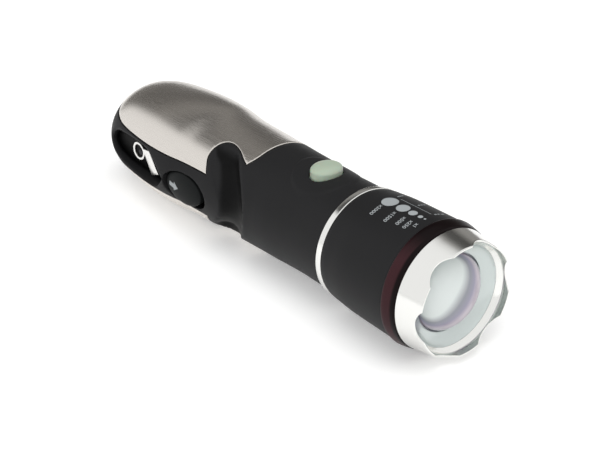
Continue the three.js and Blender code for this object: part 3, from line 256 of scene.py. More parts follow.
LENS_CONE = (
    (41.8, 13.6), (41.8, 19.4), (43.0, 19.4), (43.0, 17.85), (45.3, 17.85, 0.1),
    (45.25, 17.7, 0.2), (44.6, 17.3, 0.6), (43.7, 16.3, 0.8), (42.9, 14.9, 0.8),
    (42.4, 13.65, 0.3),
)
LENS_FLANGE = (
    (39.8, 0.001), (39.8, 14.3), (40.0, 14.6), (41.3, 14.6), (41.5, 14.4), (41.5, 13.35),
)
LAMP_TUBE = (
    (0.15, 15.0, 0.05), (0.15, 17.0), (12.3, 17.0), (12.3, 15.7), (14.2, 15.7), (14.2, 17.0),
    (27.7, 17.0), (27.7, 16.4), (30, 16.4), (30, 15.4), (3.2, 15.4), (3.2, 10.8), (1.1, 10.8),
    (1.1, 12.9), (-9, 12.9), (-9, 14.7, 0.05),
)
THREAD_ENDS = (-8.9, -2.6)
LAMP_NECK = ((-2.6, 14.9), (-2.2, 14.9), (-2.2, 13.2), (-0.3, 13.2), (-0.3, 15.0), (0.15, 15.0))

# The printed zoom scale: dots as place along X and radius, their labels, the line as two places
# along X, degrees past the top and width, and marks as place along X and two angles
ZOOM_DOTS = ((14.15, 2.87), (20.35, 2.33), (24.95, 1.55), (28.4, 0.88), (30.5, 0.42))
ZOOM_LABELS = ("x2000", "x1500", "x500", "x250", "x1")
ZOOM_LABEL_X = (14.0, 20.6, 25.2, 28.45, 31.0)
ZOOM_LINE = (14.8, 29.0, 10.3, 0.22)
ZOOM_MARKS = (
    (12.6, 102.0, 104.2), (12.4, 105.0, 107.4), (12.1, 108.4, 110.6), (21.3, 104.4, 106.8),
    (21.2, 107.8, 110.2), (21.0, 111.2, 114.0), (29.7, 102.4, 105.0), (29.7, 106.0, 108.4),
    (29.8, 110.0, 113.6),
)
DOT_ANGLE, LABEL_ANGLE = 89.4, 80.2
PRINT_RISE = 0.05
LABEL_HEIGHT = 1.45
MARK_REACH, MARK_HALF = 21, 0.28


def linear(colour):
    """The linear value of a colour written as 0xrrggbb."""
    parts = [((colour >> shift) & 255) / 255 for shift in (16, 8, 0)]
    return tuple(c / 12.92 if c <= 0.04045 else ((c + 0.055) / 1.055) ** 2.4 for c in parts)


def size_setting(label, about, metres):
    return FloatProperty(name=label, description=about, default=metres, unit="LENGTH", precision=5)


def angle_setting(label, about, degrees):
    return FloatProperty(
        name=label, description=about, default=math.radians(degrees), subtype="ANGLE")


def power_setting(label, about, watts):
    return FloatProperty(name=label, description=about, default=watts, min=0, unit="POWER")


def colour_setting(label, about, colour):
    return FloatVectorProperty(
        name=label, description=about, default=linear(colour), subtype="COLOR", min=0, max=1)


class TorchSizes(PropertyGroup):
    grip_half_height: size_setting("Grip half height", "Half the handle's greatest height", 0.0198)
    grip_width_share: FloatProperty(
        name="Grip width share", description="Width over height of the oval grip", default=1.172)
    sheet_spacing: size_setting("Sheet spacing", "Distance between points of the handle", 0.0009)
    rim_radius: size_setting("Rim radius", "Rounding along the edges of shells and skin", 0.0003)
    window_radius: size_setting("Window rounding", "Rounding along the window's edge", 0.0009)
    groove_radius: size_setting("Groove radius", "Radius of the groove's round section", 0.0058)
    groove_depth: size_setting("Groove depth", "How deep the grip groove is pressed in", 0.0031)
    scallop_depth: size_setting("Scallop depth", "How deep the crown's hollows go", 0.0026)
    scallop_chord: size_setting("Scallop chord", "Width of each hollow between two crests", 0.0118)
    lens_dome: size_setting("Lens dome", "Height of the lens above its flange", 0.0069)
    turned_sides: IntProperty(
        name="Turned sides", description="Faces round a turned piece", default=168, min=24, max=512)


class TorchColours(PropertyGroup):
    body: colour_setting("Body", "Soft-touch plastic of the handle and head", 0x202021)
    steel: colour_setting("Steel", "Brushed steel of the two shells", 0xdcd7d1)
    tools: colour_setting("Tools", "Satin steel of the folding tools and the lock", 0xb9b7b3)
    chrome: colour_setting("Chrome", "Polished metal of the crown and trim ring", 0xe9e9e6)
    # The warning ring's colour is its painted highlight; painted shade darkens the rest of the
    # ring.
    warning: colour_setting("Warning ring", "Clear dark red plastic", 0x3c2226)
    power: colour_setting("Power button", "Pale green rubbery plastic", 0xa8b6a3)
    cone: colour_setting("Cone ring", "Bright satin ring round the lens", 0xced6d4)
    print: colour_setting("Print", "Pale ink of the zoom scale and the arrow", 0x9ea3a5)
    glass: colour_setting("Lens", "Faintly green clear plastic", 0xf8fffd)


class TorchStudio(PropertyGroup):
    azimuth: angle_setting("Camera azimuth", "Camera's turn from -Y", 50.088)
    elevation: angle_setting("Camera elevation", "Camera's height angle", 29.62)
    roll: angle_setting("Camera roll", "Camera's roll", -0.247)
    distance: size_setting("Camera distance", "Distance from the camera to its target", 0.7)
    lens: FloatProperty(
        name="Focal length", description="On a sensor 36 mm wide", default=120.72, unit="CAMERA")
    floor_tilt: angle_setting("Floor tilt", "It rests on its warning ring and grip, tail low", 1.25)
    world_strength: FloatProperty(
        name="World", description="Strength of the sky", default=0.55, min=0)
    key_power: power_setting("Key lamp", "Power of the softbox overhead", 7.0)
    fill_power: power_setting("Fill lamp", "Power of the lamp beside the camera", 2.2)


def sizes():
    return bpy.context.scene.torch_sizes


def colours():
    return bpy.context.scene.torch_colours


# ---- Mesh tools ----


def in_row(points):
    """Points in millimetres from the split line, as the frame's metres."""
    return (np.asarray(points, float).reshape(-1, 3) + SPLIT_POINT) * MM


def add_piece(name, verts, faces, finish, body, slot, nodes=(), sharp=38):
    """Makes one visible piece from millimetre points and puts it on its body."""
    mesh = bpy.data.meshes.new(name)
    mesh.from_pydata(in_row(verts).tolist(), [], [list(map(int, face)) for face in faces])
    shape = bmesh.new()
    shape.from_mesh(mesh)
    bmesh.ops.remove_doubles(shape, verts=shape.verts, dist=WELD_DISTANCE)
    bmesh.ops.dissolve_degenerate(shape, edges=shape.edges, dist=SLIVER_EDGE)
    loose = [vert for vert in shape.verts if not vert.link_faces]
    bmesh.ops.delete(shape, geom=loose, context="VERTS")
    bmesh.ops.recalc_face_normals(shape, faces=shape.faces)
    shape.to_mesh(mesh)
    shape.free()
    mesh.shade_smooth()
    mesh.set_sharp_from_angle(angle=math.radians(sharp))
    mesh.materials.append(finish)
    piece = bpy.data.objects.new(name, mesh)
    bpy.context.scene.collection.objects.link(piece)
    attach(piece, body)
    if nodes:
        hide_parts(*nodes)


def joined(*parts):
    """Several (verts, faces) lists as one."""
    verts, faces = [], []
    for part_verts, part_faces in parts:
        start = len(verts)
        verts.extend(np.asarray(part_verts, float).tolist())
        faces.extend([[int(i) + start for i in face] for face in part_faces])
    return verts, faces


def eased(points, fillet, steps=3, closed=True):
    """A line with its corners rounded: each corner gives way to a short arc."""
    flat = np.asarray([point[:2] for point in points], float)
    radii = [point[2] if len(point) > 2 else fillet for point in points]
    count, out = len(flat), []
    for i, point in enumerate(flat):
        if radii[i] == 0 or (not closed and i in (0, count - 1)):
            out.append(point)
            continue
        before, after = flat[i - 1] - point, flat[(i + 1) % count] - point
        reach = min(radii[i], np.linalg.norm(before) * 0.45, np.linalg.norm(after) * 0.45)
        start = point + before / np.linalg.norm(before) * reach
        end = point + after / np.linalg.norm(after) * reach
        for step in range(steps + 1):
            t = step / steps
            out.append(start * (1 - t) ** 2 + point * 2 * t * (1 - t) + end * t**2)
    return np.array(out)


def around(count):
    """Angles at equal steps round a circle."""
    return np.arange(count) / count * 2 * math.pi


def turned(profile, closed=True):
    """A surface turned about X from rows of (X, radius)."""
    profile = np.asarray(profile, float)
    turn = around(sizes().turned_sides)
    verts = np.empty((len(profile), len(turn), 3))
    verts[..., 0] = profile[:, None, 0]
    verts[..., 1] = profile[:, None, 1] * np.cos(turn)
    verts[..., 2] = profile[:, None, 1] * np.sin(turn)
    return grid_surface(verts, closed)


def grid_surface(verts, rows_closed=True, columns_closed=True):
    """Faces between the points of a grid given as an array of (rows, columns, 3)."""
    rows, columns = verts.shape[:2]
    faces = []
    for r in range(rows if rows_closed else rows - 1):
        upper, lower = r * columns, (r + 1) % rows * columns
        for c in range(columns if columns_closed else columns - 1):
            d = (c + 1) % columns
            faces.append((upper + c, upper + d, lower + d, lower + c))
    return verts.reshape(-1, 3), faces


def o_ring(x, radius):
    turn = around(20)
    return turned(np.stack([x + SEAL_HALF * np.cos(turn), radius + SEAL_HALF * np.sin(turn)], 1))


def resampled(points, step, closed=False):
    """A line's points at nearly equal steps, with its corners kept."""
    points = np.asarray(points, float)
    ends = np.roll(points, -1, 0) if closed else points[1:]
    out = []
    for start, end in zip(points, ends):
        count = max(1, round(float(np.linalg.norm(end - start)) / step))
        out.extend(start + (end - start) * i / count for i in range(count))
    if not closed:
        out.append(points[-1])
    return np.array(out)


def splined(points, steps, closed=False):
    """A smooth line through the points."""
    points = np.asarray(points, float)
    count = len(points)
    out = []
    for i in range(count if closed else count - 1):
        near = [i - 1, i, i + 1, i + 2]
        near = [k % count for k in near] if closed else [min(max(k, 0), count - 1) for k in near]
        p0, p1, p2, p3 = points[near]
        for step in range(steps):
            t = step / steps
            v0, v1 = (p2 - p0) / 2, (p3 - p1) / 2
            cubic, square = 2 * p1 - 2 * p2 + v0 + v1, -3 * p1 + 3 * p2 - 2 * v0 - v1
            out.append(cubic * t**3 + square * t**2 + v0 * t + p1)
    if not closed:
        out.append(points[-1])
    return np.array(out)


def inside(loop, points):
    """Which points lie inside a closed line."""
    x, y = points[:, 0], points[:, 1]
    found = np.zeros(len(points), bool)
    for (x0, y0), (x1, y1) in zip(loop, np.roll(loop, -1, 0)):
        if y0 != y1:
            found ^= ((y0 > y) != (y1 > y)) & (x < (x1 - x0) * (y - y0) / (y1 - y0) + x0)
    return found


def offset(line, distance, closed=False):
    """A line's points moved to its left by a distance."""
    if closed:
        along = np.roll(line, -1, 0) - np.roll(line, 1, 0)
    else:
        along = np.gradient(line, axis=0)
    along = along / np.maximum(np.linalg.norm(along, axis=1, keepdims=True), 1e-9)
    return line + np.stack([-along[:, 1], along[:, 0]], 1) * distance


def signed_area(loop):
    """Twice the area in a closed line, above zero where it runs to the left."""
    ahead = np.roll(loop, -1, 0)
    return float(np.sum(loop[:, 0] * ahead[:, 1] - ahead[:, 0] * loop[:, 1]))


def triangles(points, edges):
    found = delaunay_2d_cdt([Vector(p) for p in points], edges, [], 0, 1e-6)
    return np.array([tuple(v) for v in found[0]]), np.array([f for f in found[2] if len(f) == 3])


def filled(shapes, holes=()):
    """Flat points and faces that cover some closed lines, less the holes."""
    points, edges = [], []
    for line in (*shapes, *holes):
        start = len(points)
        points.extend(np.asarray(line, float).tolist())
        edges.extend((start + i, start + (i + 1) % len(line)) for i in range(len(line)))
    flat, faces = triangles(points, edges)
    middle = flat[faces].mean(1)
    keep = np.any([inside(np.asarray(shape), middle) for shape in shapes], 0)
    for hole in holes:
        keep &= ~inside(np.asarray(hole), middle)
    return flat, faces[keep]


def open_edges(faces):
    """The edges that only one face has, as pairs of its points in its order."""
    found = {}
    for a, b, c in faces:
        for start, end in ((a, b), (b, c), (c, a)):
            if found.pop((end, start), None) is None:
                found[(start, end)] = True
    return list(found)


def plate(loops, y0, y1, edge):
    """A flat plate in the XZ plane with rounded edges: its outline comes first, then its holes."""
    parts, caps = [], []
    turns = [0, math.pi / 4, math.pi / 2]
    for number, loop in enumerate(loops):
        loop = resampled(loop, 0.6, closed=True)
        inward = math.copysign(edge, signed_area(loop)) * (1 if number == 0 else -1)
        rows = [(turn, y0 + edge * (1 - math.cos(turn))) for turn in turns]
        rows += [(turn, y1 - edge * (1 - math.cos(turn))) for turn in reversed(turns)]
        rings = [(offset(loop, inward * (1 - math.sin(turn)), True), y) for turn, y in rows]
        verts = np.array([[(x, y, z) for x, z in ring] for ring, y in rings])
        parts.append(grid_surface(verts, rows_closed=False))
        caps.append(rings[0][0])
    flat, faces = filled(caps[:1], caps[1:])
    return joined(*parts, *[([(x, y, z) for x, z in flat], faces) for y in (y0, y1)])


def outline_of(shapes, holes=()):
    """The outlines round overlapping flat shapes, less the holes: the longest comes first."""
    flat, faces = filled(shapes, holes)
    follow = dict(open_edges(faces))
    loops = []
    while follow:
        start, here = follow.popitem()
        loop = [start]
        while here != start and here in follow:
            loop.append(here)
            here = follow.pop(here)
        loops.append(flat[loop])
    return sorted(loops, key=len, reverse=True)


def circle(x, z, radius, sides):
    turn = around(sides)
    return np.stack([x + radius * np.cos(turn), z + radius * np.sin(turn)], 1)


# ---- The handle's skin as a flat sheet: u runs along its side view, v round it ----


class Grip:
    """The oval handle. v / ROUND is the angle above the -Y side, from -90 to 270 degrees."""

    def __init__(self):
        half_height = sizes().grip_half_height / MM
        self.width_share = sizes().grip_width_share
        rows = np.array(HANDLE_PROFILE) * (-HANDLE_LENGTH, half_height)
        line = splined(rows, 24)
        tip = [(-HANDLE_LENGTH, half_height * 0.04), (-HANDLE_LENGTH - 0.02, 0.0)]
        line = np.vstack([line, tip])
        along = np.gradient(line, axis=0)
        along /= np.linalg.norm(along, axis=1, keepdims=True)
        self.x, self.radius = line.T
        self.out_x, self.out_r = along[:, 1], -along[:, 0]
        steps = np.linalg.norm(np.diff(line, axis=0), axis=1)
        self.u = np.concatenate([[0], np.cumsum(steps)])
        self.length = self.u[-1]

    def widening(self, x):
        share = np.clip((-x - OVAL_START) / (OVAL_END - OVAL_START), 0, 1)
        return 1 + (self.width_share - 1) * share * share * (3 - 2 * share)

    def u_at(self, x):
        return np.interp(-np.asarray(x, float), -self.x, self.u)

    def radius_at(self, x):
        return np.interp(-np.asarray(x, float), -self.x, self.radius)

    def points(self, sheet, height=0.0):
        u, angle = sheet[:, 0], sheet[:, 1] / ROUND
        x, radius = np.interp(u, self.u, self.x), np.interp(u, self.u, self.radius)
        out_x, out_r = np.interp(u, self.u, self.out_x), np.interp(u, self.u, self.out_r)
        radius = np.maximum(radius + out_r * height, 0)
        y = -radius * self.widening(x) * np.cos(angle)
        return np.stack([x + out_x * height, y, radius * np.sin(angle)], 1)

    def side_line(self, line):
        """X and Z points on the -Y side as a line on the sheet, up to the surface's end."""
        line = resampled(line, LINE_STEP)
        shown = np.abs(line[:, 1]) < self.radius_at(line[:, 0])
        first, last = np.flatnonzero(shown)[[0, -1]]
        return self.on_side(line)[max(first - 1, 0):last + 2]

    def side_loop(self, line):
        return self.on_side(resampled(line, LINE_STEP, closed=True))

    def on_side(self, line):
        lift = np.clip(line[:, 1] / self.radius_at(line[:, 0]), -1, 1)
        return np.stack([self.u_at(line[:, 0]), np.arcsin(lift) * ROUND], 1)

    def top_loop(self, x, half_length, half_width):
        turn = around(96)
        xs, ys = x + half_length * np.cos(turn), half_width * np.sin(turn)
        angle = np.arccos(-ys / (self.radius_at(xs) * self.widening(xs)))
        return np.stack([self.u_at(xs), angle * ROUND], 1)

    def slot_line(self, half_width, front):
        """Edge of the tool slot on the -Y half, from the middle of its front edge to the tail."""
        y = np.linspace(0, half_width, 20)
        reach = self.radius_at(front) * self.widening(front)
        first = np.stack([np.full(20, self.u_at(front)), -np.arccos(y / reach) * ROUND], 1)
        u = np.linspace(self.u_at(front), self.length - 0.05, 260)[1:]
        x, radius = np.interp(u, self.u, self.x), np.interp(u, self.u, self.radius)
        angle = -np.arccos(np.clip(half_width / (radius * self.widening(x)), -1, 1))
        floor = -np.arcsin(np.clip(-BAY_ROOF / radius, -1, 1))
        return np.vstack([first, np.stack([u, np.minimum(angle, floor) * ROUND], 1)])

    def rows(self, spacing):
        """Sheet points at an even spacing on the real surface."""
        out = []
        for u in np.linspace(0, self.length, int(self.length / spacing) + 1):
            radius = float(np.interp(u, self.u, self.radius))
            count = max(8, 4 * round(2 * math.pi * radius * 1.09 / spacing / 4))
            v = (np.arange(count + 1) / count * 2 * math.pi - math.pi / 2) * ROUND
            out.append(np.stack([np.full(count + 1, u), v], 1))
        return np.vstack(out)


def shell_loop(grip):
    """Edge of the top shell on the sheet: its near side with the lobe, then its plain far side."""
    tail = [*splined(SHELL_TAIL, 4)[:-1], *SHELL_END]
    near = grip.side_line([*splined(SHELL_FRONT, 6)[:-1], *splined(SHELL_LOBE, 6)[:-1], *tail])
    far = grip.side_line([*splined(SHELL_FAR_FRONT, 6)[:-1], *tail])
    return near, to_far_side(far[::-1])


def to_far_side(sheet):
    """Sheet points of the near side, mirrored to the far one."""
    return sheet * (1, -1) + (0, math.pi * ROUND)


def pocket_outline():
    """The pocket that the release button slides in, as X and Z."""
    oval = circle(0, 0, 1, 72) * (RELEASE_HALF[0] + FIT, RELEASE_HALF[1] + FIT) + RELEASE_AT
    return outline_of([oval, oval + (RELEASE_TRAVEL, 0)])[0]


def mirrored_v(sheet):
    """The sheet turned upside down, kept between -90 and 270 degrees."""
    v = -sheet[:, 1]
    v = np.where(v < -math.pi / 2 * ROUND - 1e-6, v + 2 * math.pi * ROUND, v)
    return np.stack([sheet[:, 0], v], 1)


def around_rims(rims, grid, coarse=None):
    """The grid's points that stand clear of the rims, and the rims' points with rows beside."""
    samples, radii = [], []
    for line, radius, closed in rims:
        fine = resampled(line, SAMPLE_STEP, closed)
        samples.append(fine)
        radii.append(np.full(len(fine), radius))
    samples, radii = np.vstack(samples), np.concatenate(radii)
    tree = KDTree(len(samples))
    for i, (u, v) in enumerate(samples):
        tree.insert((u, v, 0), i)
    tree.balance()

    def nearest(points):
        found = [tree.find((u, v, 0)) for u, v in points]
        return np.array([f[2] for f in found]), radii[[f[1] for f in found]]

    distance, radius = nearest(grid)
    keep = distance > np.maximum(radius * RIM_CLEARANCE, LEAST_CLEARANCE)
    if coarse is not None:
        keep &= coarse(grid, distance)
    points = [grid[keep]]
    for line, radius, closed in rims:
        for share in RIM_ROWS:
            for side in (-1, 1):
                points.append(offset(line, side * share * radius, closed))
    edges, count = [], sum(len(p) for p in points)
    for line, radius, closed in rims:
        points.append(line)
        last = len(line) if closed else len(line) - 1
        edges.extend((count + i, count + (i + 1) % len(line)) for i in range(last))
        count += len(line)
    return np.vstack(points), edges, nearest


def rounded_drop(distance, radius):
    """How far a rounded edge falls at a distance from it."""
    near = np.clip(radius - distance, 0, radius)
    return radius - np.sqrt(np.maximum(radius**2 - near**2, 0))


def handle_skin():
    """The housing's skin, sunk under the shells and cut for the buttons, window and tools."""
    grip = Grip()
    spacing, rim = sizes().sheet_spacing / MM, sizes().rim_radius / MM
    near, far = shell_loop(grip)
    top_zone = np.vstack([near, far])
    quarter = math.pi / 2 * ROUND
    low_near, low_far = near * (1, -1), far * (1, -1) + (0, 2 * math.pi * ROUND)
    window = grip.side_loop(splined(WINDOW, 5, closed=True))
    pocket = grip.side_loop(pocket_outline())
    power = grip.top_loop(POWER_X, POWER_HALF[0] + FIT, POWER_HALF[1] + FIT)
    slot = grip.slot_line(BAY_HALF_WIDTH, BAY_FRONT)
    slot_far = to_far_side(slot)
    front = np.stack([np.zeros(160), np.linspace(-quarter, 3 * quarter, 160)], 1)
    rims = [
        (near, rim, False), (far, rim, False), (low_near, rim, False), (low_far, rim, False),
        (window, sizes().window_radius / MM, True), (pocket, rim, True), (power, rim, True),
        (slot, rim, False), (slot_far, rim, False), (front, rim, False),
    ]

    def sunk(points):
        return inside(top_zone, points) | inside(top_zone, mirrored_v(points))

    def coarse(points, distance):
        row = np.round(points[:, 0] / (grip.length / int(grip.length / spacing))).astype(int)
        column = np.round(points[:, 1] / ROUND * grip.radius.max() / spacing).astype(int)
        kept = (row % COARSE_EVERY == 0) & (column % COARSE_EVERY == 0)
        return ~sunk(points) | (distance < FINE_BELT) | kept

    relief = [POWER_RELIEF_RADIUS + out for out in (-0.6, -0.2, 0.2, 0.6)]
    grid = [grip.rows(spacing), *[grip.top_loop(POWER_X, radius, radius) for radius in relief]]
    points, edges, nearest = around_rims(rims, np.vstack(grid), coarse)
    points = np.clip(points, (0, -quarter), (grip.length, 3 * quarter))
    sheet, faces = triangles(points, edges)
    middle = sheet[faces].mean(1)
    x, y, z = grip.points(middle).T
    cut = {
        "window": inside(window, middle), "pocket": inside(pocket, middle),
        "power": inside(power, middle),
        "slot": (np.abs(y) < BAY_HALF_WIDTH) & (z < BAY_ROOF) & (x < BAY_FRONT),
    }
    zone = np.where(sunk(middle), 2, 1)
    kind = np.full(len(faces), "", object)
    for name, found in cut.items():
        zone[found], kind[found] = 0, name
    distance, radius = nearest(sheet)
    upper = grip.points(sheet, skin_height(grip, sheet) - rounded_drop(distance, radius))
    lower = grip.points(sheet, -(SHELL_WALL + FIT))

    verts, numbers, out = [], {}, []

    def number(vertex, level):
        key = (vertex, level)
        if key not in numbers:
            numbers[key] = len(verts)
            verts.append(upper[vertex] if level == 1 else lower[vertex])
        return numbers[key]

    def foot(vertex, level, name):
        """Where a wall that starts at the vertex ends."""
        key = (vertex, level, name)
        if key not in numbers:
            x, y, z = upper[vertex] if level == 1 else lower[vertex]
            if name in ("window", "pocket"):
                low, high = LOCK_CHANNEL
                over = low < z < high and any(a < x < b for a, b in LOCK_CHANNEL_ENDS)
                end = (x, -LOCK_ROOF if over else -LOCK_FLOOR, z)
            elif name == "power":
                end = (x, y, POWER_LIP)
            elif name == "slot":
                end = (x, y, BAY_ROOF)
            else:
                share = MOUTH_BORE / math.hypot(y, z)
                end = (x, y * share, z * share)
            numbers[key] = len(verts)
            verts.append(end)
        return numbers[key]

    sides = {}
    for index, face in enumerate(faces.tolist()):
        level = int(zone[index])
        if level:
            out.append([number(vertex, level) for vertex in face])
        for start, end in zip(face, (*face[1:], face[0])):
            sides.setdefault((min(start, end), max(start, end)), []).append((index, start, end))
    for met in sides.values():
        one, a, b = met[0]
        level, name = int(zone[one]), ""
        if len(met) == 2:
            two, start, end = met[1]
            other = int(zone[two])
            if level == other:
                continue
            if level and other:
                out.append([number(b, level), number(a, level), number(a, other), number(b, other)])
                continue
            name = kind[two]
            if not level:
                level, name, a, b = other, kind[one], start, end
        elif not level or sheet[a, 0] >= 1e-4 or sheet[b, 0] >= 1e-4:
            continue
        out.append([number(b, level), number(a, level), foot(a, level, name), foot(b, level, name)])
    return verts, out


def channel_lining(openings):
    """The lock bar's channel where it runs under the skin, between the window and the pocket."""
    parts = []
    low, high = LOCK_CHANNEL
    for x0, x1 in LOCK_CHANNEL_ENDS:
        loop = outline_of([[(x0, low), (x1, low), (x1, high), (x0, high)]], openings)[0]
        flat, faces = filled([loop])
        parts += [([(x, -y, z) for x, z in flat], faces) for y in (LOCK_FLOOR, LOCK_ROOF)]
        for level in (low, high):
            xs = loop[np.abs(loop[:, 1] - level) < 1e-4, 0]
            wall = [(x, -y, level) for x in (xs.min(), xs.max()) for y in (LOCK_FLOOR, LOCK_ROOF)]
            parts.append((wall, [(0, 1, 3, 2)]))
    end = LOCK_CHANNEL_ENDS[1][1]
    wall = [(end, -y, z) for z in LOCK_CHANNEL for y in (LOCK_FLOOR, LOCK_ROOF)]
    return [*parts, (wall, [(0, 1, 3, 2)])]


def skin_height(grip, sheet):
    """The grip groove, pressed in, and the low disc round the power button, raised."""
    place = grip.points(sheet)
    degrees, middles = np.array(GROOVE, float).T
    angle = np.linspace(*GROOVE_ENDS, 85)
    path_x = -np.interp(np.abs(angle), degrees, middles)
    path = grip.points(np.stack([grip.u_at(path_x), np.radians(angle) * ROUND], 1))
    near = (np.abs(place[:, 0] + 50) < 20) & (place[:, 1] < 0)
    gap = np.full(len(sheet), 99.0)
    for point in path:
        gap[near] = np.minimum(gap[near], np.linalg.norm(place[near] - point, axis=1))
    radius, depth = sizes().groove_radius / MM, sizes().groove_depth / MM
    hollow = np.sqrt(np.maximum(radius**2 - gap**2, 0)) - (radius - depth)
    soft = 0.8
    height = -np.where(hollow > soft, hollow, np.maximum(hollow + soft, 0) ** 2 / (4 * soft))
    reach = np.hypot(place[:, 0] - POWER_X, place[:, 1])
    edge = POWER_RELIEF_EDGE
    share = np.clip((POWER_RELIEF_RADIUS + edge - reach) / (2 * edge), 0, 1)
    raised = share * share * (3 - 2 * share) * POWER_RELIEF_RISE
    return height + np.where(place[:, 2] > 0, raised, 0)


def steel_shell(slot):
    """A shell in the top shell's place. With slot, it is cut as the lower one, still unturned."""
    grip = Grip()
    spacing, rim = sizes().sheet_spacing / MM, sizes().rim_radius / MM
    near, far = shell_loop(grip)
    edge = np.vstack([near[:-1], far[:-1]])
    loop = offset(edge, math.copysign(FIT, signed_area(edge)), closed=True)
    loop = resampled(loop, LINE_STEP, closed=True)
    rims = [(loop, rim, True)]
    slot_side, slot_front = BAY_HALF_WIDTH + SLOT_LIP, BAY_FRONT + SLOT_LIP
    if slot:
        line = grip.slot_line(slot_side, slot_front) * (1, -1)
        rims += [(line, rim, False), (to_far_side(line), rim, False)]
    grid = grip.rows(spacing)
    grid = grid[inside(loop, grid)]
    points, edges, nearest = around_rims(rims, grid)
    sheet, faces = triangles(points, edges)
    middle = sheet[faces].mean(1)
    keep = inside(loop, middle)
    if slot:
        x, y, _ = grip.points(middle).T
        keep &= ~((np.abs(y) < slot_side) & (x < slot_front))
    faces = faces[keep]
    distance, radius = nearest(sheet)
    outer = grip.points(sheet, -rounded_drop(distance, radius))
    inner = grip.points(sheet, -SHELL_WALL)
    count = len(sheet)
    out = [*faces.tolist(), *[[a + count, c + count, b + count] for a, b, c in faces.tolist()]]
    out += [[b, a, a + count, b + count] for a, b in open_edges(faces.tolist())]
    return np.vstack([outer, inner]), out


# ---- Finishes ----

FLOAT, COLOUR, VECTOR = "NodeSocketFloat", "NodeSocketColor", "NodeSocketVector"
WHITE = (1, 1, 1, 1)
RELIEF_DEPTH = 0.00002


def feed(node, feeds):
    """Sets a node's inputs to plain values, or links them to the sockets that are given."""
    for key, value in feeds.items():
        if isinstance(value, bpy.types.NodeSocket):
            node.id_data.links.new(value, node.inputs[key])
        else:
            node.inputs[key].default_value = value


def nodes_of(tree):
    """A maker of nodes: it sets a new node's properties and feeds its inputs."""
    def add(kind, feeds=None, **values):
        node = tree.nodes.new(kind)
        for key, value in values.items():
            setattr(node, key, value)
        feed(node, feeds or {})
        return node
    return add


def maths(add, operation, *values, **settings):
    feeds = dict(enumerate(values))
    return add("ShaderNodeMath", feeds, operation=operation, **settings).outputs[0]


def scaled(add, colour, share):
    """A colour times a plain share."""
    return add("ShaderNodeVectorMath", {0: colour, "Scale": share}, operation="SCALE").outputs[0]


def mixed(add, factor, first, second, **values):
    """Two colours mixed. The mix node's colours go into sockets 6 and 7 and come out of 2."""
    feeds = {0: factor, 6: first, 7: second}
    return add("ShaderNodeMix", feeds, data_type="RGBA", **values).outputs[2]


def set_stops(ramp, rows):
    """Gives a colour ramp its stops, from rows of place and colour."""
    stops = ramp.color_ramp.elements
    for index, (place, colour) in enumerate(rows):
        stop = stops[index] if index < 2 else stops.new(0.99)
        stop.position, stop.color = place, colour


def effect(name, inputs, outputs, build):
    """A shader node group with named sockets. build returns what feeds its outputs."""
    if name in bpy.data.node_groups:
        return bpy.data.node_groups[name]
    tree = bpy.data.node_groups.new(name, "ShaderNodeTree")
    for label, kind, value in inputs:
        socket = tree.interface.new_socket(name=label, in_out="INPUT", socket_type=kind)
        socket.default_value = value
    for label, kind in outputs:
        tree.interface.new_socket(name=label, in_out="OUTPUT", socket_type=kind)
    add = nodes_of(tree)
    start = add("NodeGroupInput")
    add("NodeGroupOutput", build(add, start.outputs))
    return tree


def surface_effect(name, own, amount, noises):
    """A group for a whole surface: a noise varies its tone and roughness, one gives its relief."""
    def build(add, inputs):
        varying, height = noises(add, add("ShaderNodeTexCoord").outputs["Object"], inputs)
        centred = maths(add, "SUBTRACT", varying, 0.5)
        tone = maths(add, "MULTIPLY_ADD", centred, inputs[amount], 1)
        rough = maths(add, "MULTIPLY_ADD", centred, inputs["Spread"], inputs["Roughness"],
                      use_clamp=True)
        return {"Color": scaled(add, inputs["Base"], tone), "Roughness": rough, "Height": height}

    inputs = [("Base", COLOUR, (0.5, 0.5, 0.5, 1)), *own]
    inputs += [("Roughness", FLOAT, 0.5), ("Spread", FLOAT, 0.1)]
    outputs = [("Color", COLOUR), ("Roughness", FLOAT), ("Height", FLOAT)]
    return effect(name, inputs, outputs, build)


def grain_effect():
    """Fine moulded grain with a slow change of tone."""
    def noises(add, place, inputs):
        fine = add("ShaderNodeTexNoise", {"Vector": place, "Scale": inputs["Grain"], "Detail": 3})
        slow = add("ShaderNodeTexNoise", {"Vector": place, "Scale": 55, "Detail": 4})
        return slow.outputs["Fac"], fine.outputs["Fac"]

    own = [("Grain", FLOAT, 900.0), ("Mottle", FLOAT, 0.08)]
    return surface_effect("Moulded grain", own, "Mottle", noises)


def brushed_effect():
    """Fine scratches that run along X, as a brushing belt leaves them."""
    def noises(add, place, inputs):
        lines = add("ShaderNodeVectorMath", {0: place, 1: inputs["Stretch"]}, operation="MULTIPLY")
        feeds = {"Vector": lines.outputs[0], "Scale": 1, "Detail": 4, "Roughness": 0.65}
        noise = add("ShaderNodeTexNoise", feeds).outputs["Fac"]
        return noise, noise

    own = [("Stretch", VECTOR, (30, 2600, 2600)), ("Contrast", FLOAT, 0.12)]
    return surface_effect("Brushed lines", own, "Contrast", noises)


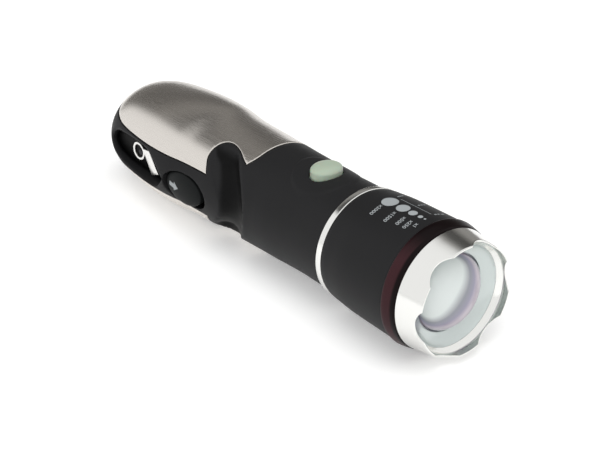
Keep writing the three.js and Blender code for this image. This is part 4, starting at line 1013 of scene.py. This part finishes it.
def shade_effect(name, label, default, build):
    """A group that says what lies in shade: build works it out from X, Y and Z in millimetres."""
    def shade(add, inputs):
        def ramp(value, start, end):
            feeds = {"Value": value, "From Min": start, "From Max": end}
            return add("ShaderNodeMapRange", feeds, interpolation_type="SMOOTHSTEP").outputs[0]

        place = add("ShaderNodeTexCoord").outputs["Object"]
        feeds = {0: place, 1: (1 / MM,) * 3, 2: -SPLIT_POINT}
        moved = add("ShaderNodeVectorMath", feeds, operation="MULTIPLY_ADD")
        split = add("ShaderNodeSeparateXYZ", {0: moved.outputs[0]})
        return {"Shade": build(partial(maths, add), ramp, inputs[label], *split.outputs)}

    return effect(name, [(label, FLOAT, default)], [("Shade", FLOAT)], shade)


def hollow_effect():
    """Where the handle's grip groove and the floors of its window and pocket lie in shade."""
    def build(do, ramp, groove_width, x, y, z):
        angle = do("ARCTAN2", z, do("MULTIPLY", y, -GROOVE_OVAL))
        bend = do("POWER", do("MULTIPLY", do("ABSOLUTE", angle), 4 / math.pi), GROOVE_BEND)
        middle = do("MULTIPLY_ADD", bend, -GROOVE_SWEEP, -GROOVE[0][1])
        gap = do("ABSOLUTE", do("SUBTRACT", x, middle))
        groove = ramp(do("SUBTRACT", groove_width, gap), -0.9, 0.9)
        low, high = GROOVE_SHADE_ENDS
        top_end = ramp(do("MULTIPLY", angle, -1), math.radians(-high), math.radians(10 - high))
        low_end = ramp(angle, math.radians(low), math.radians(low + 10))
        groove = do("MULTIPLY", do("MULTIPLY", groove, top_end), low_end)
        # The floors lie deeper than the skin, on the near side and within the window and pocket
        deep = do("MULTIPLY", ramp(y, *HOLLOW_DEPTH), ramp(do("ABSOLUTE", z), *HOLLOW_HEIGHT))
        along = do("MULTIPLY", ramp(x, *HOLLOW_BACK), ramp(x, *HOLLOW_FRONT))
        deep = do("MULTIPLY", do("MULTIPLY", deep, along), ramp(y, *HOLLOW_SIDE))
        return do("MAXIMUM", groove, deep)

    return shade_effect("Hollow shade", "Groove width", 5.5, build)


def ring_effect():
    """Painted shade at the warning ring's top and edges; the lighter band left between is a painted
    highlight.
    """
    def build(do, ramp, highlight_edge, x, y, z):
        angle = do("ARCTAN2", z, do("MULTIPLY", y, -1))
        crown, sleeve = ramp(do("SUBTRACT", x, highlight_edge), *RING_BY_CROWN), ramp(x, *RING_BY_SLEEVE)
        high = ramp(angle, *map(math.radians, RING_TOP))
        return do("MAXIMUM", do("MAXIMUM", crown, sleeve), high)

    return shade_effect("Ring shade", "Glow edge", 38.0, build)


def surface_of(material):
    return next(node for node in material.node_tree.nodes if node.type == "BSDF_PRINCIPLED")


def colour_of(surface):
    return surface.inputs["Base Color"].links[0].from_socket


def finish(name, colour, group, settings, bump, **shader):
    """A material that takes its colour, roughness and relief from one effect."""
    if name in bpy.data.materials:
        return bpy.data.materials[name]
    material = bpy.data.materials.new(name)
    material.use_nodes = True
    add, surface = nodes_of(material.node_tree), surface_of(material)
    look = add("ShaderNodeGroup", {"Base": (*colour, 1), **settings}, node_tree=group).outputs
    feeds = {"Strength": bump, "Distance": RELIEF_DEPTH, "Height": look["Height"]}
    normal = add("ShaderNodeBump", feeds).outputs["Normal"]
    feed(surface, {"Base Color": look["Color"], "Roughness": look["Roughness"], "Normal": normal})
    feed(surface, {key.replace("_", " "): value for key, value in shader.items()})
    return material


def moulded(name, colour, roughness, grain=900.0, mottle=0.1, spread=0.1, bump=0.1, **shader):
    settings = {"Grain": grain, "Mottle": mottle, "Roughness": roughness, "Spread": spread}
    return finish(name, colour, grain_effect(), settings, bump, **shader)


def brushed(name, colour, rough, stretch=(30, 2600, 2600), contrast=0.12, spread=0.2, bump=0.08):
    settings = {"Stretch": stretch, "Contrast": contrast, "Roughness": rough, "Spread": spread}
    return finish(name, colour, brushed_effect(), settings, bump, Metallic=1.0)


def shaded(material, group, darkest):
    """Scales a material's colour down to the given share where the group's shade is one."""
    add, surface = nodes_of(material.node_tree), surface_of(material)
    shade = add("ShaderNodeGroup", node_tree=group).outputs["Shade"]
    share = add("ShaderNodeMapRange", {"Value": shade, "To Min": 1, "To Max": darkest}).outputs[0]
    feed(surface, {"Base Color": scaled(add, colour_of(surface), share)})
    return material


def soft_black(name="soft touch black"):
    return moulded(name, colours().body, 0.5, grain=2600, mottle=0.18, spread=0.12, bump=0.16,
                   Specular_IOR_Level=0.12)


def handle_black():
    """The soft black with its hollows in shade."""
    return shaded(soft_black("soft touch black with hollows"), hollow_effect(), 0.12)


def shell_steel():
    return brushed(
        "brushed shell steel", colours().steel, 0.26, contrast=0.16, spread=0.18, bump=0.12)


def tool_steel():
    return brushed("satin tool steel", colours().tools, 0.3, stretch=(900, 900, 60), contrast=0.1)


def bright_chrome():
    return moulded("polished chrome", colours().chrome, 0.14, grain=260, mottle=0.03, spread=0.03,
                   bump=0.01, Metallic=1.0)


def seal_rubber():
    return moulded("seal rubber", linear(0x191919), 0.75, grain=3000, bump=0.3)


def button_black():
    return moulded("release button black", linear(0x161818), 0.5, grain=2400, bump=0.12,
                   Specular_IOR_Level=0.1)


def pale_print():
    return moulded("pale print", colours().print, 0.55, grain=4000, mottle=0.12, bump=0.1)


def warning_red():
    # Its colour is that of the lighter band, a painted highlight; the ring shade darkens the top
    # and edges as painted shade.
    material = moulded("warning ring red", colours().warning, 0.3, grain=500, mottle=0.3, bump=0.03,
                       Transmission_Weight=0.1, Specular_IOR_Level=0.05)
    return shaded(material, ring_effect(), 0.1)


def cone_pearl():
    return moulded("cone ring satin", colours().cone, 0.22, grain=700, mottle=0.05, bump=0.03,
                   Metallic=0.55, Coat_Weight=0.4)


def lens_clear():
    """Pale clear plastic with a violet tint toward its rim and a painted reflection darkening it
    there.
    """
    material = moulded("clear lens", colours().glass, 0.25, grain=300, mottle=0.0, spread=0.02,
                       bump=0.0, Transmission_Weight=0.2, IOR=1.35, Coat_Weight=1.0,
                       Coat_Roughness=0.03)
    add, surface = nodes_of(material.node_tree), surface_of(material)
    facing = add("ShaderNodeLayerWeight", {"Blend": 0.5})
    rim = add("ShaderNodeValToRGB", {"Fac": facing.outputs["Facing"]})
    set_stops(rim, [(place, (*colour, 1)) for place, colour in LENS_TINT_AND_REFLECTION])
    tint_and_reflection = mixed(add, 1, colour_of(surface), rim.outputs[0], blend_type="MULTIPLY")
    feed(surface, {"Base Color": tint_and_reflection})
    return material


# ---- Pieces ----


class TORCH_OT_housing(Operator):
    """Builds the handle's soft black skin with its grooves, window, pockets and tool slot"""
    bl_idname = "torch.housing"
    bl_label = "Housing"

    def execute(self, context):
        openings = [splined(WINDOW, 5, closed=True), pocket_outline()]
        floors = channel_lining(openings)
        for loop in openings:
            flat, faces = filled([loop])
            floors.append(([(x, -LOCK_FLOOR, z) for x, z in flat], faces))
        grip = Grip()
        tail = float(np.interp(BAY_HALF_WIDTH, grip.radius[::-1] * grip.width_share, grip.x[::-1]))
        end = np.linspace(tail, -HANDLE_LENGTH + 0.2, 12)[1:]
        xs = [BAY_FRONT, *np.linspace(-118, tail, 6), *end]
        reach = [min(BAY_HALF_WIDTH, float(grip.radius_at(x) * grip.width_share)) for x in xs]
        roof = np.array([[(x, y, BAY_ROOF), (x, -y, BAY_ROOF)] for x, y in zip(xs, reach)])
        roof = grid_surface(roof, rows_closed=False, columns_closed=False)
        parts = joined(handle_skin(), *floors, roof, turned(BORE, closed=False))
        add_piece("housing_skin", *parts, handle_black(), "handle", "soft_black", ["main_housing"],
                  sharp=48)
        return {"FINISHED"}


class TORCH_OT_shells(Operator):
    """Builds the two brushed steel shells that face the handle"""
    bl_idname = "torch.shells"
    bl_label = "Steel shells"

    def execute(self, context):
        for name, node, slot, turn in (
            ("top_steel", "top_shell", False, (1, 1, 1)),
            ("bottom_steel", "bottom_shell", True, (1, 1, -1)),
        ):
            verts, faces = steel_shell(slot)
            add_piece(name, verts * turn, faces, shell_steel(), "handle", "brushed_shell", [node],
                      sharp=50)
        return {"FINISHED"}


class TORCH_OT_power_button(Operator):
    """Builds the pale green push button on top"""
    bl_idname = "torch.power_button"
    bl_label = "Power button"

    def execute(self, context):
        low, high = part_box("power_button")
        top, bottom = high.z / MM - SPLIT_POINT[2], low.z / MM - SPLIT_POINT[2]
        half_x, half_y = POWER_HALF
        rows = [(bottom + rise, radius, radius) for rise, radius in POWER_RIM]
        rows.append((bottom + POWER_RIM[-1][0], half_x, half_y))
        for t in np.linspace(0, math.pi / 2 - 0.01, 26):
            share = math.cos(t) ** 0.85
            rows.append((top - 2 * (1 - math.sin(t)), half_x * share, half_y * share))
        rows.append((top, 0.0008, 0.0008))
        cap = grid_surface(np.array([
            [(POWER_X + a * math.cos(t), b * math.sin(t), z) for t in around(112)]
            for z, a, b in rows
        ]), rows_closed=False)
        green = moulded("power button green", colours().power, 0.38, grain=1800, mottle=0.06,
                        bump=0.08, Subsurface_Weight=0.15, Subsurface_Scale=0.002)
        add_piece("power_cap", *cap, green, "power", "pale_green", ["power_button"], sharp=60)
        return {"FINISHED"}


class TORCH_OT_lock(Operator):
    """Builds the release button with its arrow, and the sliding lock plate behind the window"""
    bl_idname = "torch.lock"
    bl_label = "Release button and lock"

    def execute(self, context):
        x0, z0 = RELEASE_AT
        half_x, half_z = RELEASE_HALF
        top, skirt, bottom = 22.9, 20.9, 18.9
        rows = [(0.001, bottom), (1, bottom), (1, skirt)]
        rows += [(math.cos(t) ** 0.9, skirt + 2.0 * math.sin(t) ** 1.15)
                 for t in np.linspace(0.1, math.pi / 2 - 0.02, 20)]
        rows.append((0.0005, top))
        cap = grid_surface(np.array([
            [(x0 + half_x * share * math.cos(t), -y, z0 + half_z * share * math.sin(t))
             for t in around(96)] for share, y in rows
        ]), rows_closed=False)
        black = button_black()
        add_piece("release_cap", *cap, black, "lock", "black_plastic", ["release_button"], sharp=55)
        lean = math.radians(ARROW_LEAN)
        arrow = resampled(eased(ARROW, 0.15, 2), 0.4, closed=True) @ np.array(
            [(math.cos(lean), math.sin(lean)), (-math.sin(lean), math.cos(lean))])
        flat, faces = filled([arrow + ARROW_AT])
        share = np.hypot((flat[:, 0] - x0) / half_x, (flat[:, 1] - z0) / half_z)
        dome = np.array(rows[2:])
        level = np.interp(-share, -dome[:, 0], dome[:, 1])
        raised = np.stack([flat[:, 0], -level - 0.06, flat[:, 1]], 1)
        add_piece("release_arrow", raised, faces, pale_print(), "lock", "white_plastic", sharp=80)
        for name, shape in (
            ("release_bar", plate([eased(LOCK_BAR, 0.5)], *BAR_LEVELS, 0.25)),
            ("release_stem", plate([circle(x0, -3.7, 1.6, 32)], *STEM_LEVELS, 0.1)),
        ):
            add_piece(name, *shape, black, "lock", "black_plastic", sharp=45)
        shapes = [eased(LOCK_ARM, 0.25), circle(*EYE_AT, EYE_RADIUS, 48)]
        arm = plate(outline_of(shapes, [circle(*EYE_AT, EYE_HOLE, 40)]), *ARM_LEVELS, 0.22)
        steel = brushed(
            "bright lock steel", linear(0xe9e8e5), 0.3, stretch=(60, 900, 900), contrast=0.08)
        add_piece("lock_slide", *arm, steel, "lock", "tool_steel", ["lock_plate"], sharp=45)
        return {"FINISHED"}


class TORCH_OT_tools(Operator):
    """Builds the six folding tools on their pin"""
    bl_idname = "torch.tools"
    bl_label = "Folding tools"

    def execute(self, context):
        for index, (name, shares) in enumerate(TOOL_OUTLINES.items()):
            y0 = -BAY_HALF_WIDTH + TOOL_GAP + index * (TOOL_THICKNESS + TOOL_GAP)
            y1 = y0 + TOOL_THICKNESS
            blade = [(a * TOOL_LENGTH, u * (TOOL_RISE if u > 0 else TOOL_DEPTH)) for a, u in shares]
            (root, low), high = blade[0], TOOL_RISE / 2
            root += TANG_RADIUS
            heel = [(0, -TANG_RADIUS), (root, low), (root, high), (0, high)]
            shapes = [blade, heel, circle(0, 0, TANG_RADIUS, 64)]
            loops = outline_of(shapes, [circle(0, 0, PIN_HOLE, 32)])
            loops = [loop + PIN_AT for loop in loops if len(loop) > 8]
            blade = plate(loops, y0, y1, 0.25)
            body = f"{name}_blade".replace("wood_saw", "saw")
            add_piece(f"{name}_blade", *blade, tool_steel(), body, "tool_steel", [name], sharp=35)
        return {"FINISHED"}


class TORCH_OT_head(Operator):
    """Builds the sliding sleeve with its zoom scale, the warning ring and the trim ring"""
    bl_idname = "torch.head"
    bl_label = "Head"

    def execute(self, context):
        skin = splined([(SLEEVE_START + a * SLEEVE_LENGTH, SLEEVE_RADIUS + u * SLEEVE_RISE)
                        for a, u in SLEEVE_OUTLINE], 6)
        sleeve = np.vstack([skin, eased(SLEEVE_INSIDE, 0.12, 2, closed=False)])
        bead = np.vstack([splined(WARNING_BEAD, 5), WARNING_UNDER])
        add_piece("trim_band", *turned(eased(TRIM, 0.1, 4)), bright_chrome(), "collar",
                  "bright_chrome", ["trim_ring"], sharp=50)
        add_piece("sleeve_skin", *turned(sleeve), soft_black(), "head", "soft_black",
                  ["front_sleeve"], sharp=40)
        add_piece("warning_band", *turned(bead), warning_red(), "head", "red_clear",
                  ["warning_ring"], sharp=50)
        self.zoom_scale(skin)
        return {"FINISHED"}

    def zoom_scale(self, skin):
        """The printed scale: dots with numbers for the beam's widths, and a line beyond the top."""
        def laid(flat, x, degrees):
            """A flat pattern on the sleeve: along runs down the near side, up toward the lamp."""
            flat = np.asarray(flat, float)
            xs = x + flat[:, 1]
            radius = np.interp(xs, skin[:, 0], skin[:, 1])
            angle = math.radians(degrees) - flat[:, 0] / radius
            radius += PRINT_RISE
            return np.stack([xs, -radius * np.cos(angle), radius * np.sin(angle)], 1)

        def ribbon(pairs, x, degrees):
            faces = [(2 * i, 2 * i + 1, 2 * i + 3, 2 * i + 2) for i in range(len(pairs) - 1)]
            return laid(np.array(pairs).reshape(-1, 2), x, degrees), faces

        parts = []
        for (x, radius), label, label_x in zip(ZOOM_DOTS, ZOOM_LABELS, ZOOM_LABEL_X):
            rings = [0.001, *np.linspace(0, 1, max(2, round(radius / 0.4)) + 1)[1:]]
            dot = np.array([
                [(reach * math.cos(t), reach * math.sin(t), 0) for t in around(48)]
                for reach in [share * radius for share in rings]
            ])
            verts, faces = grid_surface(dot, rows_closed=False)
            parts.append((laid(verts[:, :2], x, DOT_ANGLE), faces))
            flat, faces = typed(label, LABEL_HEIGHT)
            parts.append((laid(flat, label_x - LABEL_HEIGHT / 2, LABEL_ANGLE), faces))
        x0, x1, from_top, width = ZOOM_LINE
        xs = np.linspace(x0, x1, max(2, round(abs(x1 - x0) / 0.5) + 1))
        sides = [[(side * width / 2, x - x0) for side in (-1, 1)] for x in xs]
        parts.append(ribbon(sides, x0, 90 + from_top))
        for x, start, end in ZOOM_MARKS:
            along = np.linspace(0, math.radians(end - start) * MARK_REACH, 6)
            pairs = [[(-a, side * MARK_HALF) for side in (-1, 1)] for a in along]
            parts.append(ribbon(pairs, x, start))
        add_piece("zoom_scale", *joined(*parts), pale_print(), "head", "white_plastic", sharp=80)


def typed(text, height):
    """Plain built-in type as flat points and faces: its capitals have the given height."""
    curve = bpy.data.curves.new("label", "FONT")
    curve.body, curve.size, curve.offset = text, height / 0.7, 0.03
    curve.resolution_u = 3
    holder = bpy.data.objects.new("label", curve)
    mesh = holder.to_mesh()
    flat = [(vert.co.x, vert.co.y) for vert in mesh.vertices]
    faces = [list(face.vertices) for face in mesh.polygons]
    holder.to_mesh_clear()
    bpy.data.objects.remove(holder)
    bpy.data.curves.remove(curve)
    return flat, faces


class TORCH_OT_crown(Operator):
    """Builds the scalloped chrome crown"""
    bl_idname = "torch.crown"
    bl_label = "Crown"

    def execute(self, context):
        half = sizes().scallop_chord / MM / 2
        depth = sizes().scallop_depth / MM
        bow = (half**2 + depth**2) / (2 * depth)
        step = math.radians(360 / CREST_COUNT)
        back, rear, front = 39.85, 21.25, 19.75
        wide, ledge = 19.7, 42.1
        skin_x = np.array([HEAD_LENGTH, 47.7, 45.35, 42.98, 41.0, 40.05, back])
        share = (skin_x - back) / (HEAD_LENGTH - back)
        skin_r = rear + (front - rear) * share
        skin_r[-1] = rear - 0.2
        line = splined(np.stack([skin_x, skin_r], 1), 8)[::-1]
        bowl = splined(CROWN_BOWL, 8)
        bowl_start, flange = CROWN_BOWL[0]
        bowl_steps = np.linspace(0, 1, 13)
        columns = []
        for crest in range(CREST_COUNT):
            columns += [(crest, "hollow", s) for s in np.linspace(-1, 1, 41)]
            columns += [(crest, "crest", s) for s in (0.02, 0.1, 0.3, 0.5, 0.7, 0.9, 0.98)]
        verts = []
        for crest, place, s in columns:
            reach = abs(s * half) if place == "hollow" else half
            top = HEAD_LENGTH - depth + bow - math.sqrt(bow**2 - reach**2)
            near_top = [top - 0.05, top - 0.16, top - 0.6, top - 1.2]
            outer = [(x, float(np.interp(x, line[:, 0], line[:, 1])))
                     for x in (*near_top, 45.6, 44.6, 43.6, 42.6, 41.6, 40.6, 40.1, back)]
            inner = [(x, float(np.interp(x, bowl[:, 0], bowl[:, 1])))
                     for x in bowl_start + (top - bowl_start) * bowl_steps]
            lip, edge = inner[-1][1], outer[0][1]
            column = [(back, wide), (ledge, wide), (ledge, flange), *inner[:-1], (top - 0.04, lip),
                      (top, lip + 0.06), (top, edge - 0.12), (top - 0.05, edge - 0.04), *outer[1:]]
            middle = math.radians(CREST_PHASE) + (crest + 0.5) * step
            points = []
            for x, radius in column:
                turn, side = math.asin(s * half / radius), math.asin(half / radius)
                if place == "crest":
                    turn = side + s * (step - 2 * side)
                angle = middle + turn
                points.append((x, -radius * math.cos(angle), radius * math.sin(angle)))
            verts.append(points)
        add_piece("crown_bezel", *grid_surface(np.array(verts)), bright_chrome(), "head",
                  "bright_chrome", ["bezel"], sharp=34)
        return {"FINISHED"}


class TORCH_OT_lens(Operator):
    """Builds the lens and the bright ring round it"""
    bl_idname = "torch.lens"
    bl_label = "Lens and cone ring"

    def execute(self, context):
        cone = turned(eased(LENS_CONE, 0.1, 4))
        add_piece("lens_cone", *cone, cone_pearl(), "head", "pearl_plastic", ["cone_ring"],
                  sharp=50)
        front, dome = LENS_FLANGE[-1][0], sizes().lens_dome / MM
        rows = [(front + dome * math.sin(t) ** 1.06, LENS_RADIUS * math.cos(t) ** 0.92)
                for t in np.linspace(0.03, math.pi / 2 - 0.01, 40)]
        profile = [*LENS_FLANGE, *rows, (front + dome, 0.001)]
        add_piece("lens_body", *turned(profile, closed=False), lens_clear(), "head", "lens_clear",
                  ["lens"], sharp=50)
        return {"FINISHED"}


class TORCH_OT_lamp_unit(Operator):
    """Builds the tube that the head slides on, with its thread and rubber seals"""
    bl_idname = "torch.lamp_unit"
    bl_label = "Lamp unit"

    def execute(self, context):
        black = brushed(
            "black anodised", linear(0x1d1e20), 0.34, stretch=(2600, 120, 120), contrast=0.1)
        turn = around(sizes().turned_sides)
        thread = []
        for x in np.linspace(*THREAD_ENDS, 64):
            phase = (x / THREAD_PITCH + turn / (2 * math.pi)) % 1
            radius = THREAD_ROOT + THREAD_DEPTH * (1 - np.abs(2 * phase - 1))
            rows = [np.full(len(turn), x), radius * np.cos(turn), radius * np.sin(turn)]
            thread.append(np.stack(rows, 1))
        tube = joined(turned(eased(LAMP_TUBE, 0.12, 3)), grid_surface(np.array(thread), False),
                      turned(LAMP_NECK, closed=False))
        add_piece("lamp_barrel", *tube, black, "lamp_unit", "black_anodised", ["lamp_tube"],
                  sharp=45)
        for name, x, radius, body, node in (
            ("slide_seal", 13.3, 16.45, "lamp_unit", "zoom_seal"),
            ("thread_seal", -1.25, 14.4, "collar", "head_seal"),
        ):
            add_piece(name, *o_ring(x, radius), seal_rubber(), body, "seal_rubber", [node])
        return {"FINISHED"}


class TORCH_OT_node_finishes(Operator):
    """Gives the solids that stay as they are their own finishes"""
    bl_idname = "torch.node_finishes"
    bl_label = "Inner pieces"

    def execute(self, context):
        looks = (
            (moulded("circuit board", linear(0x1d5a35), 0.35, grain=1400, mottle=0.3, bump=0.15,
                     Coat_Weight=0.4), "switch_board", "contact_board", "driver_board"),
            (moulded("carrier black", linear(0x17181a), 0.5, grain=1800), "battery_carrier"),
            (moulded("cell sleeve", linear(0x3a5f88), 0.25, grain=500, mottle=0.08,
                     Coat_Weight=0.5), "battery_cell_1", "battery_cell_2", "battery_cell_3"),
            (moulded("plated brass", linear(0xb99a52), 0.25, grain=800, Metallic=1.0),
             "rear_contact_plate"),
            (moulded("white plastic", linear(0xdadddc), 0.35, grain=1500),
             "switch_plunger", "led_board"),
            (brushed("turned aluminium", linear(0xb9bbbe), 0.28, stretch=(2400, 100, 100)),
             "heat_sink"),
            (moulded("lamp phosphor", linear(0xe9d56a), 0.2, grain=2500, Coat_Weight=1.0),
             "led_emitter"),
            (moulded("warning lights", linear(0xb02a30), 0.2, grain=700, Coat_Weight=0.8),
             "warning_leds"),
            (brushed("spring steel", linear(0x8e8e90), 0.34, stretch=(200, 1800, 1800)),
             "rear_contact_spring", "power_spring", "centre_contact_spring", "back_spring",
             "stop_ring"),
            (brushed("blackened steel", linear(0x2c2c2e), 0.4, stretch=(900, 900, 60),
                     contrast=0.1), "lock_post", "release_spring"),
            (tool_steel(), "tool_pin", "lock_tongue"),
            (button_black(), "tact_switch"),
            (seal_rubber(), "lens_seal"),
            (cone_pearl(), "reflector"),
        )
        for look, *names in looks:
            for name in names:
                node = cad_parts[name]
                node.data.materials.clear()
                node.data.materials.append(look)
        return {"FINISHED"}


class TORCH_OT_stage(Operator):
    """Sets up the pale floor, the soft lamps, the sky and the camera"""
    bl_idname = "torch.stage"
    bl_label = "Stage"

    def execute(self, context):
        studio = context.scene.torch_studio
        self.floor(studio)
        self.sky(studio)
        for name, place, aim, side, power in LAMPS:
            lamp = bpy.data.lights.new(name, "AREA")
            lamp.shape, lamp.size, lamp.energy = "SQUARE", side, getattr(studio, power)
            holder = bpy.data.objects.new(name, lamp)
            holder.location = place
            holder.rotation_mode = "QUATERNION"
            holder.rotation_quaternion = (Vector(place) - Vector(aim)).to_track_quat("Z", "Y")
            holder.visible_glossy = False
            context.scene.collection.objects.link(holder)
        self.camera(context, studio)
        context.scene.view_settings.view_transform = "Standard"
        return {"FINISHED"}

    def floor(self, studio):
        contact = (RING_CONTACT_X + SPLIT_POINT[0]) * MM
        slope = math.tan(studio.floor_tilt)
        side = FLOOR_SIDE
        corners = ((-side, -side), (side, -side), (side, side), (-side, side))
        mesh = bpy.data.meshes.new("floor")
        points = [(x, y, (contact - x) * slope - FLOOR_GAP) for x, y in corners]
        mesh.from_pydata(points, [], [(0, 1, 2, 3)])
        floor = bpy.data.objects.new("floor", mesh)
        bpy.context.scene.collection.objects.link(floor)
        look = bpy.data.materials.new("pale floor")
        look.use_nodes = True
        look.node_tree.nodes.clear()
        add = nodes_of(look.node_tree)
        paper = add("ShaderNodeBsdfDiffuse", {"Color": FLOOR_COLOUR})
        shown = self.shown(add, add("ShaderNodeLightPath").outputs)
        strength = maths(add, "MULTIPLY", shown, FLOOR_GLOW)
        glow = add("ShaderNodeEmission", {"Color": WHITE, "Strength": strength})
        both = add("ShaderNodeAddShader", {0: paper.outputs[0], 1: glow.outputs[0]})
        add("ShaderNodeOutputMaterial", {"Surface": both.outputs[0]})
        mesh.materials.append(look)

    def shown(self, add, rays):
        """One for rays from the camera, off a gloss or through glass."""
        first = maths(add, "MAXIMUM", rays["Is Camera Ray"], rays["Is Glossy Ray"])
        return maths(add, "MAXIMUM", first, rays["Is Transmission Ray"])

    def sky(self, studio):
        """Even light on the torch, and a room with a window for the camera and the gloss to see."""
        world = bpy.data.worlds.new("studio")
        bpy.context.scene.world = world
        world.use_nodes = True
        world.node_tree.nodes.clear()
        add = nodes_of(world.node_tree)
        place = add("ShaderNodeTexCoord").outputs["Generated"]

        def faced(direction, start, end):
            facing = add("ShaderNodeVectorMath", {1: direction, 0: place}, operation="DOT_PRODUCT")
            feeds = {"Value": facing.outputs["Value"], "From Min": start, "From Max": end}
            return add("ShaderNodeMapRange", feeds).outputs[0]

        room = add("ShaderNodeValToRGB", {"Fac": faced(ROOM_DIRECTION, -1, 1)})
        stops = []
        for value, level in ROOM:
            warmth = (1, 1, 1) if level >= 0.9 else (1, 0.97, 0.93)
            stops.append(((value + 1) / 2, (*[level * share for share in warmth], 1)))
        set_stops(room, stops)
        rays = add("ShaderNodeLightPath").outputs
        lit = mixed(add, faced(BRIGHT_DIRECTION, *BRIGHT_EDGE), room.outputs["Color"], WHITE)
        even = mixed(add, rays["Is Camera Ray"], lit, WHITE)
        plain = (studio.world_strength,) * 3 + (1,)
        sky = add("ShaderNodeBackground", {"Color": mixed(add, self.shown(add, rays), plain, even)})
        add("ShaderNodeOutputWorld", {"Surface": sky.outputs[0]})

    def camera(self, context, studio):
        a, e, roll = studio.azimuth, studio.elevation, studio.roll
        back = Vector((math.sin(a) * math.cos(e), -math.cos(a) * math.cos(e), math.sin(e)))
        right = Vector((math.cos(a), math.sin(a), 0))
        up = back.cross(right)
        turned_right = math.cos(roll) * right + math.sin(roll) * up
        turned_up = -math.sin(roll) * right + math.cos(roll) * up
        target = (Vector(CAMERA_TARGET) + Vector(SPLIT_POINT)) * MM
        data = bpy.data.cameras.new("photo camera")
        data.sensor_width, data.sensor_fit, data.lens = 36, "HORIZONTAL", studio.lens
        data.clip_start, data.clip_end = 0.02, 40
        camera = bpy.data.objects.new("photo_camera", data)
        turn = Matrix((turned_right, turned_up, back)).transposed()
        camera.matrix_world = Matrix.Translation(target + back * studio.distance) @ turn.to_4x4()
        context.scene.collection.objects.link(camera)
        context.scene.camera = camera


OPERATORS = (
    TORCH_OT_housing, TORCH_OT_shells, TORCH_OT_power_button, TORCH_OT_lock, TORCH_OT_tools,
    TORCH_OT_head, TORCH_OT_crown, TORCH_OT_lens, TORCH_OT_lamp_unit, TORCH_OT_node_finishes,
    TORCH_OT_stage,
)


class TORCH_PT_panel(Panel):
    """Lists the torch's sizes, colours and building steps"""
    bl_label = "Torch"
    bl_idname = "TORCH_PT_panel"
    bl_space_type = "VIEW_3D"
    bl_region_type = "UI"
    bl_category = "Torch"

    def draw(self, context):
        layout = self.layout
        for setting in SETTINGS:
            group, box = getattr(context.scene, setting), layout.box()
            for name in group.__annotations__:
                box.prop(group, name)
        for step in OPERATORS:
            layout.operator(step.bl_idname)


SETTINGS = {"torch_sizes": TorchSizes, "torch_colours": TorchColours, "torch_studio": TorchStudio}


def register():
    for group in SETTINGS.values():
        bpy.utils.register_class(group)
    for step in (*OPERATORS, TORCH_PT_panel):
        bpy.utils.register_class(step)
    for name, group in SETTINGS.items():
        setattr(bpy.types.Scene, name, PointerProperty(type=group))


def unregister():
    for name in SETTINGS:
        delattr(bpy.types.Scene, name)
    for step in (TORCH_PT_panel, *reversed(OPERATORS)):
        bpy.utils.unregister_class(step)
    for group in SETTINGS.values():
        bpy.utils.unregister_class(group)


def main():
    register()
    for step in OPERATORS:
        area, name = step.bl_idname.split(".")
        getattr(getattr(bpy.ops, area), name)()


if __name__ == "__main__":
    main()
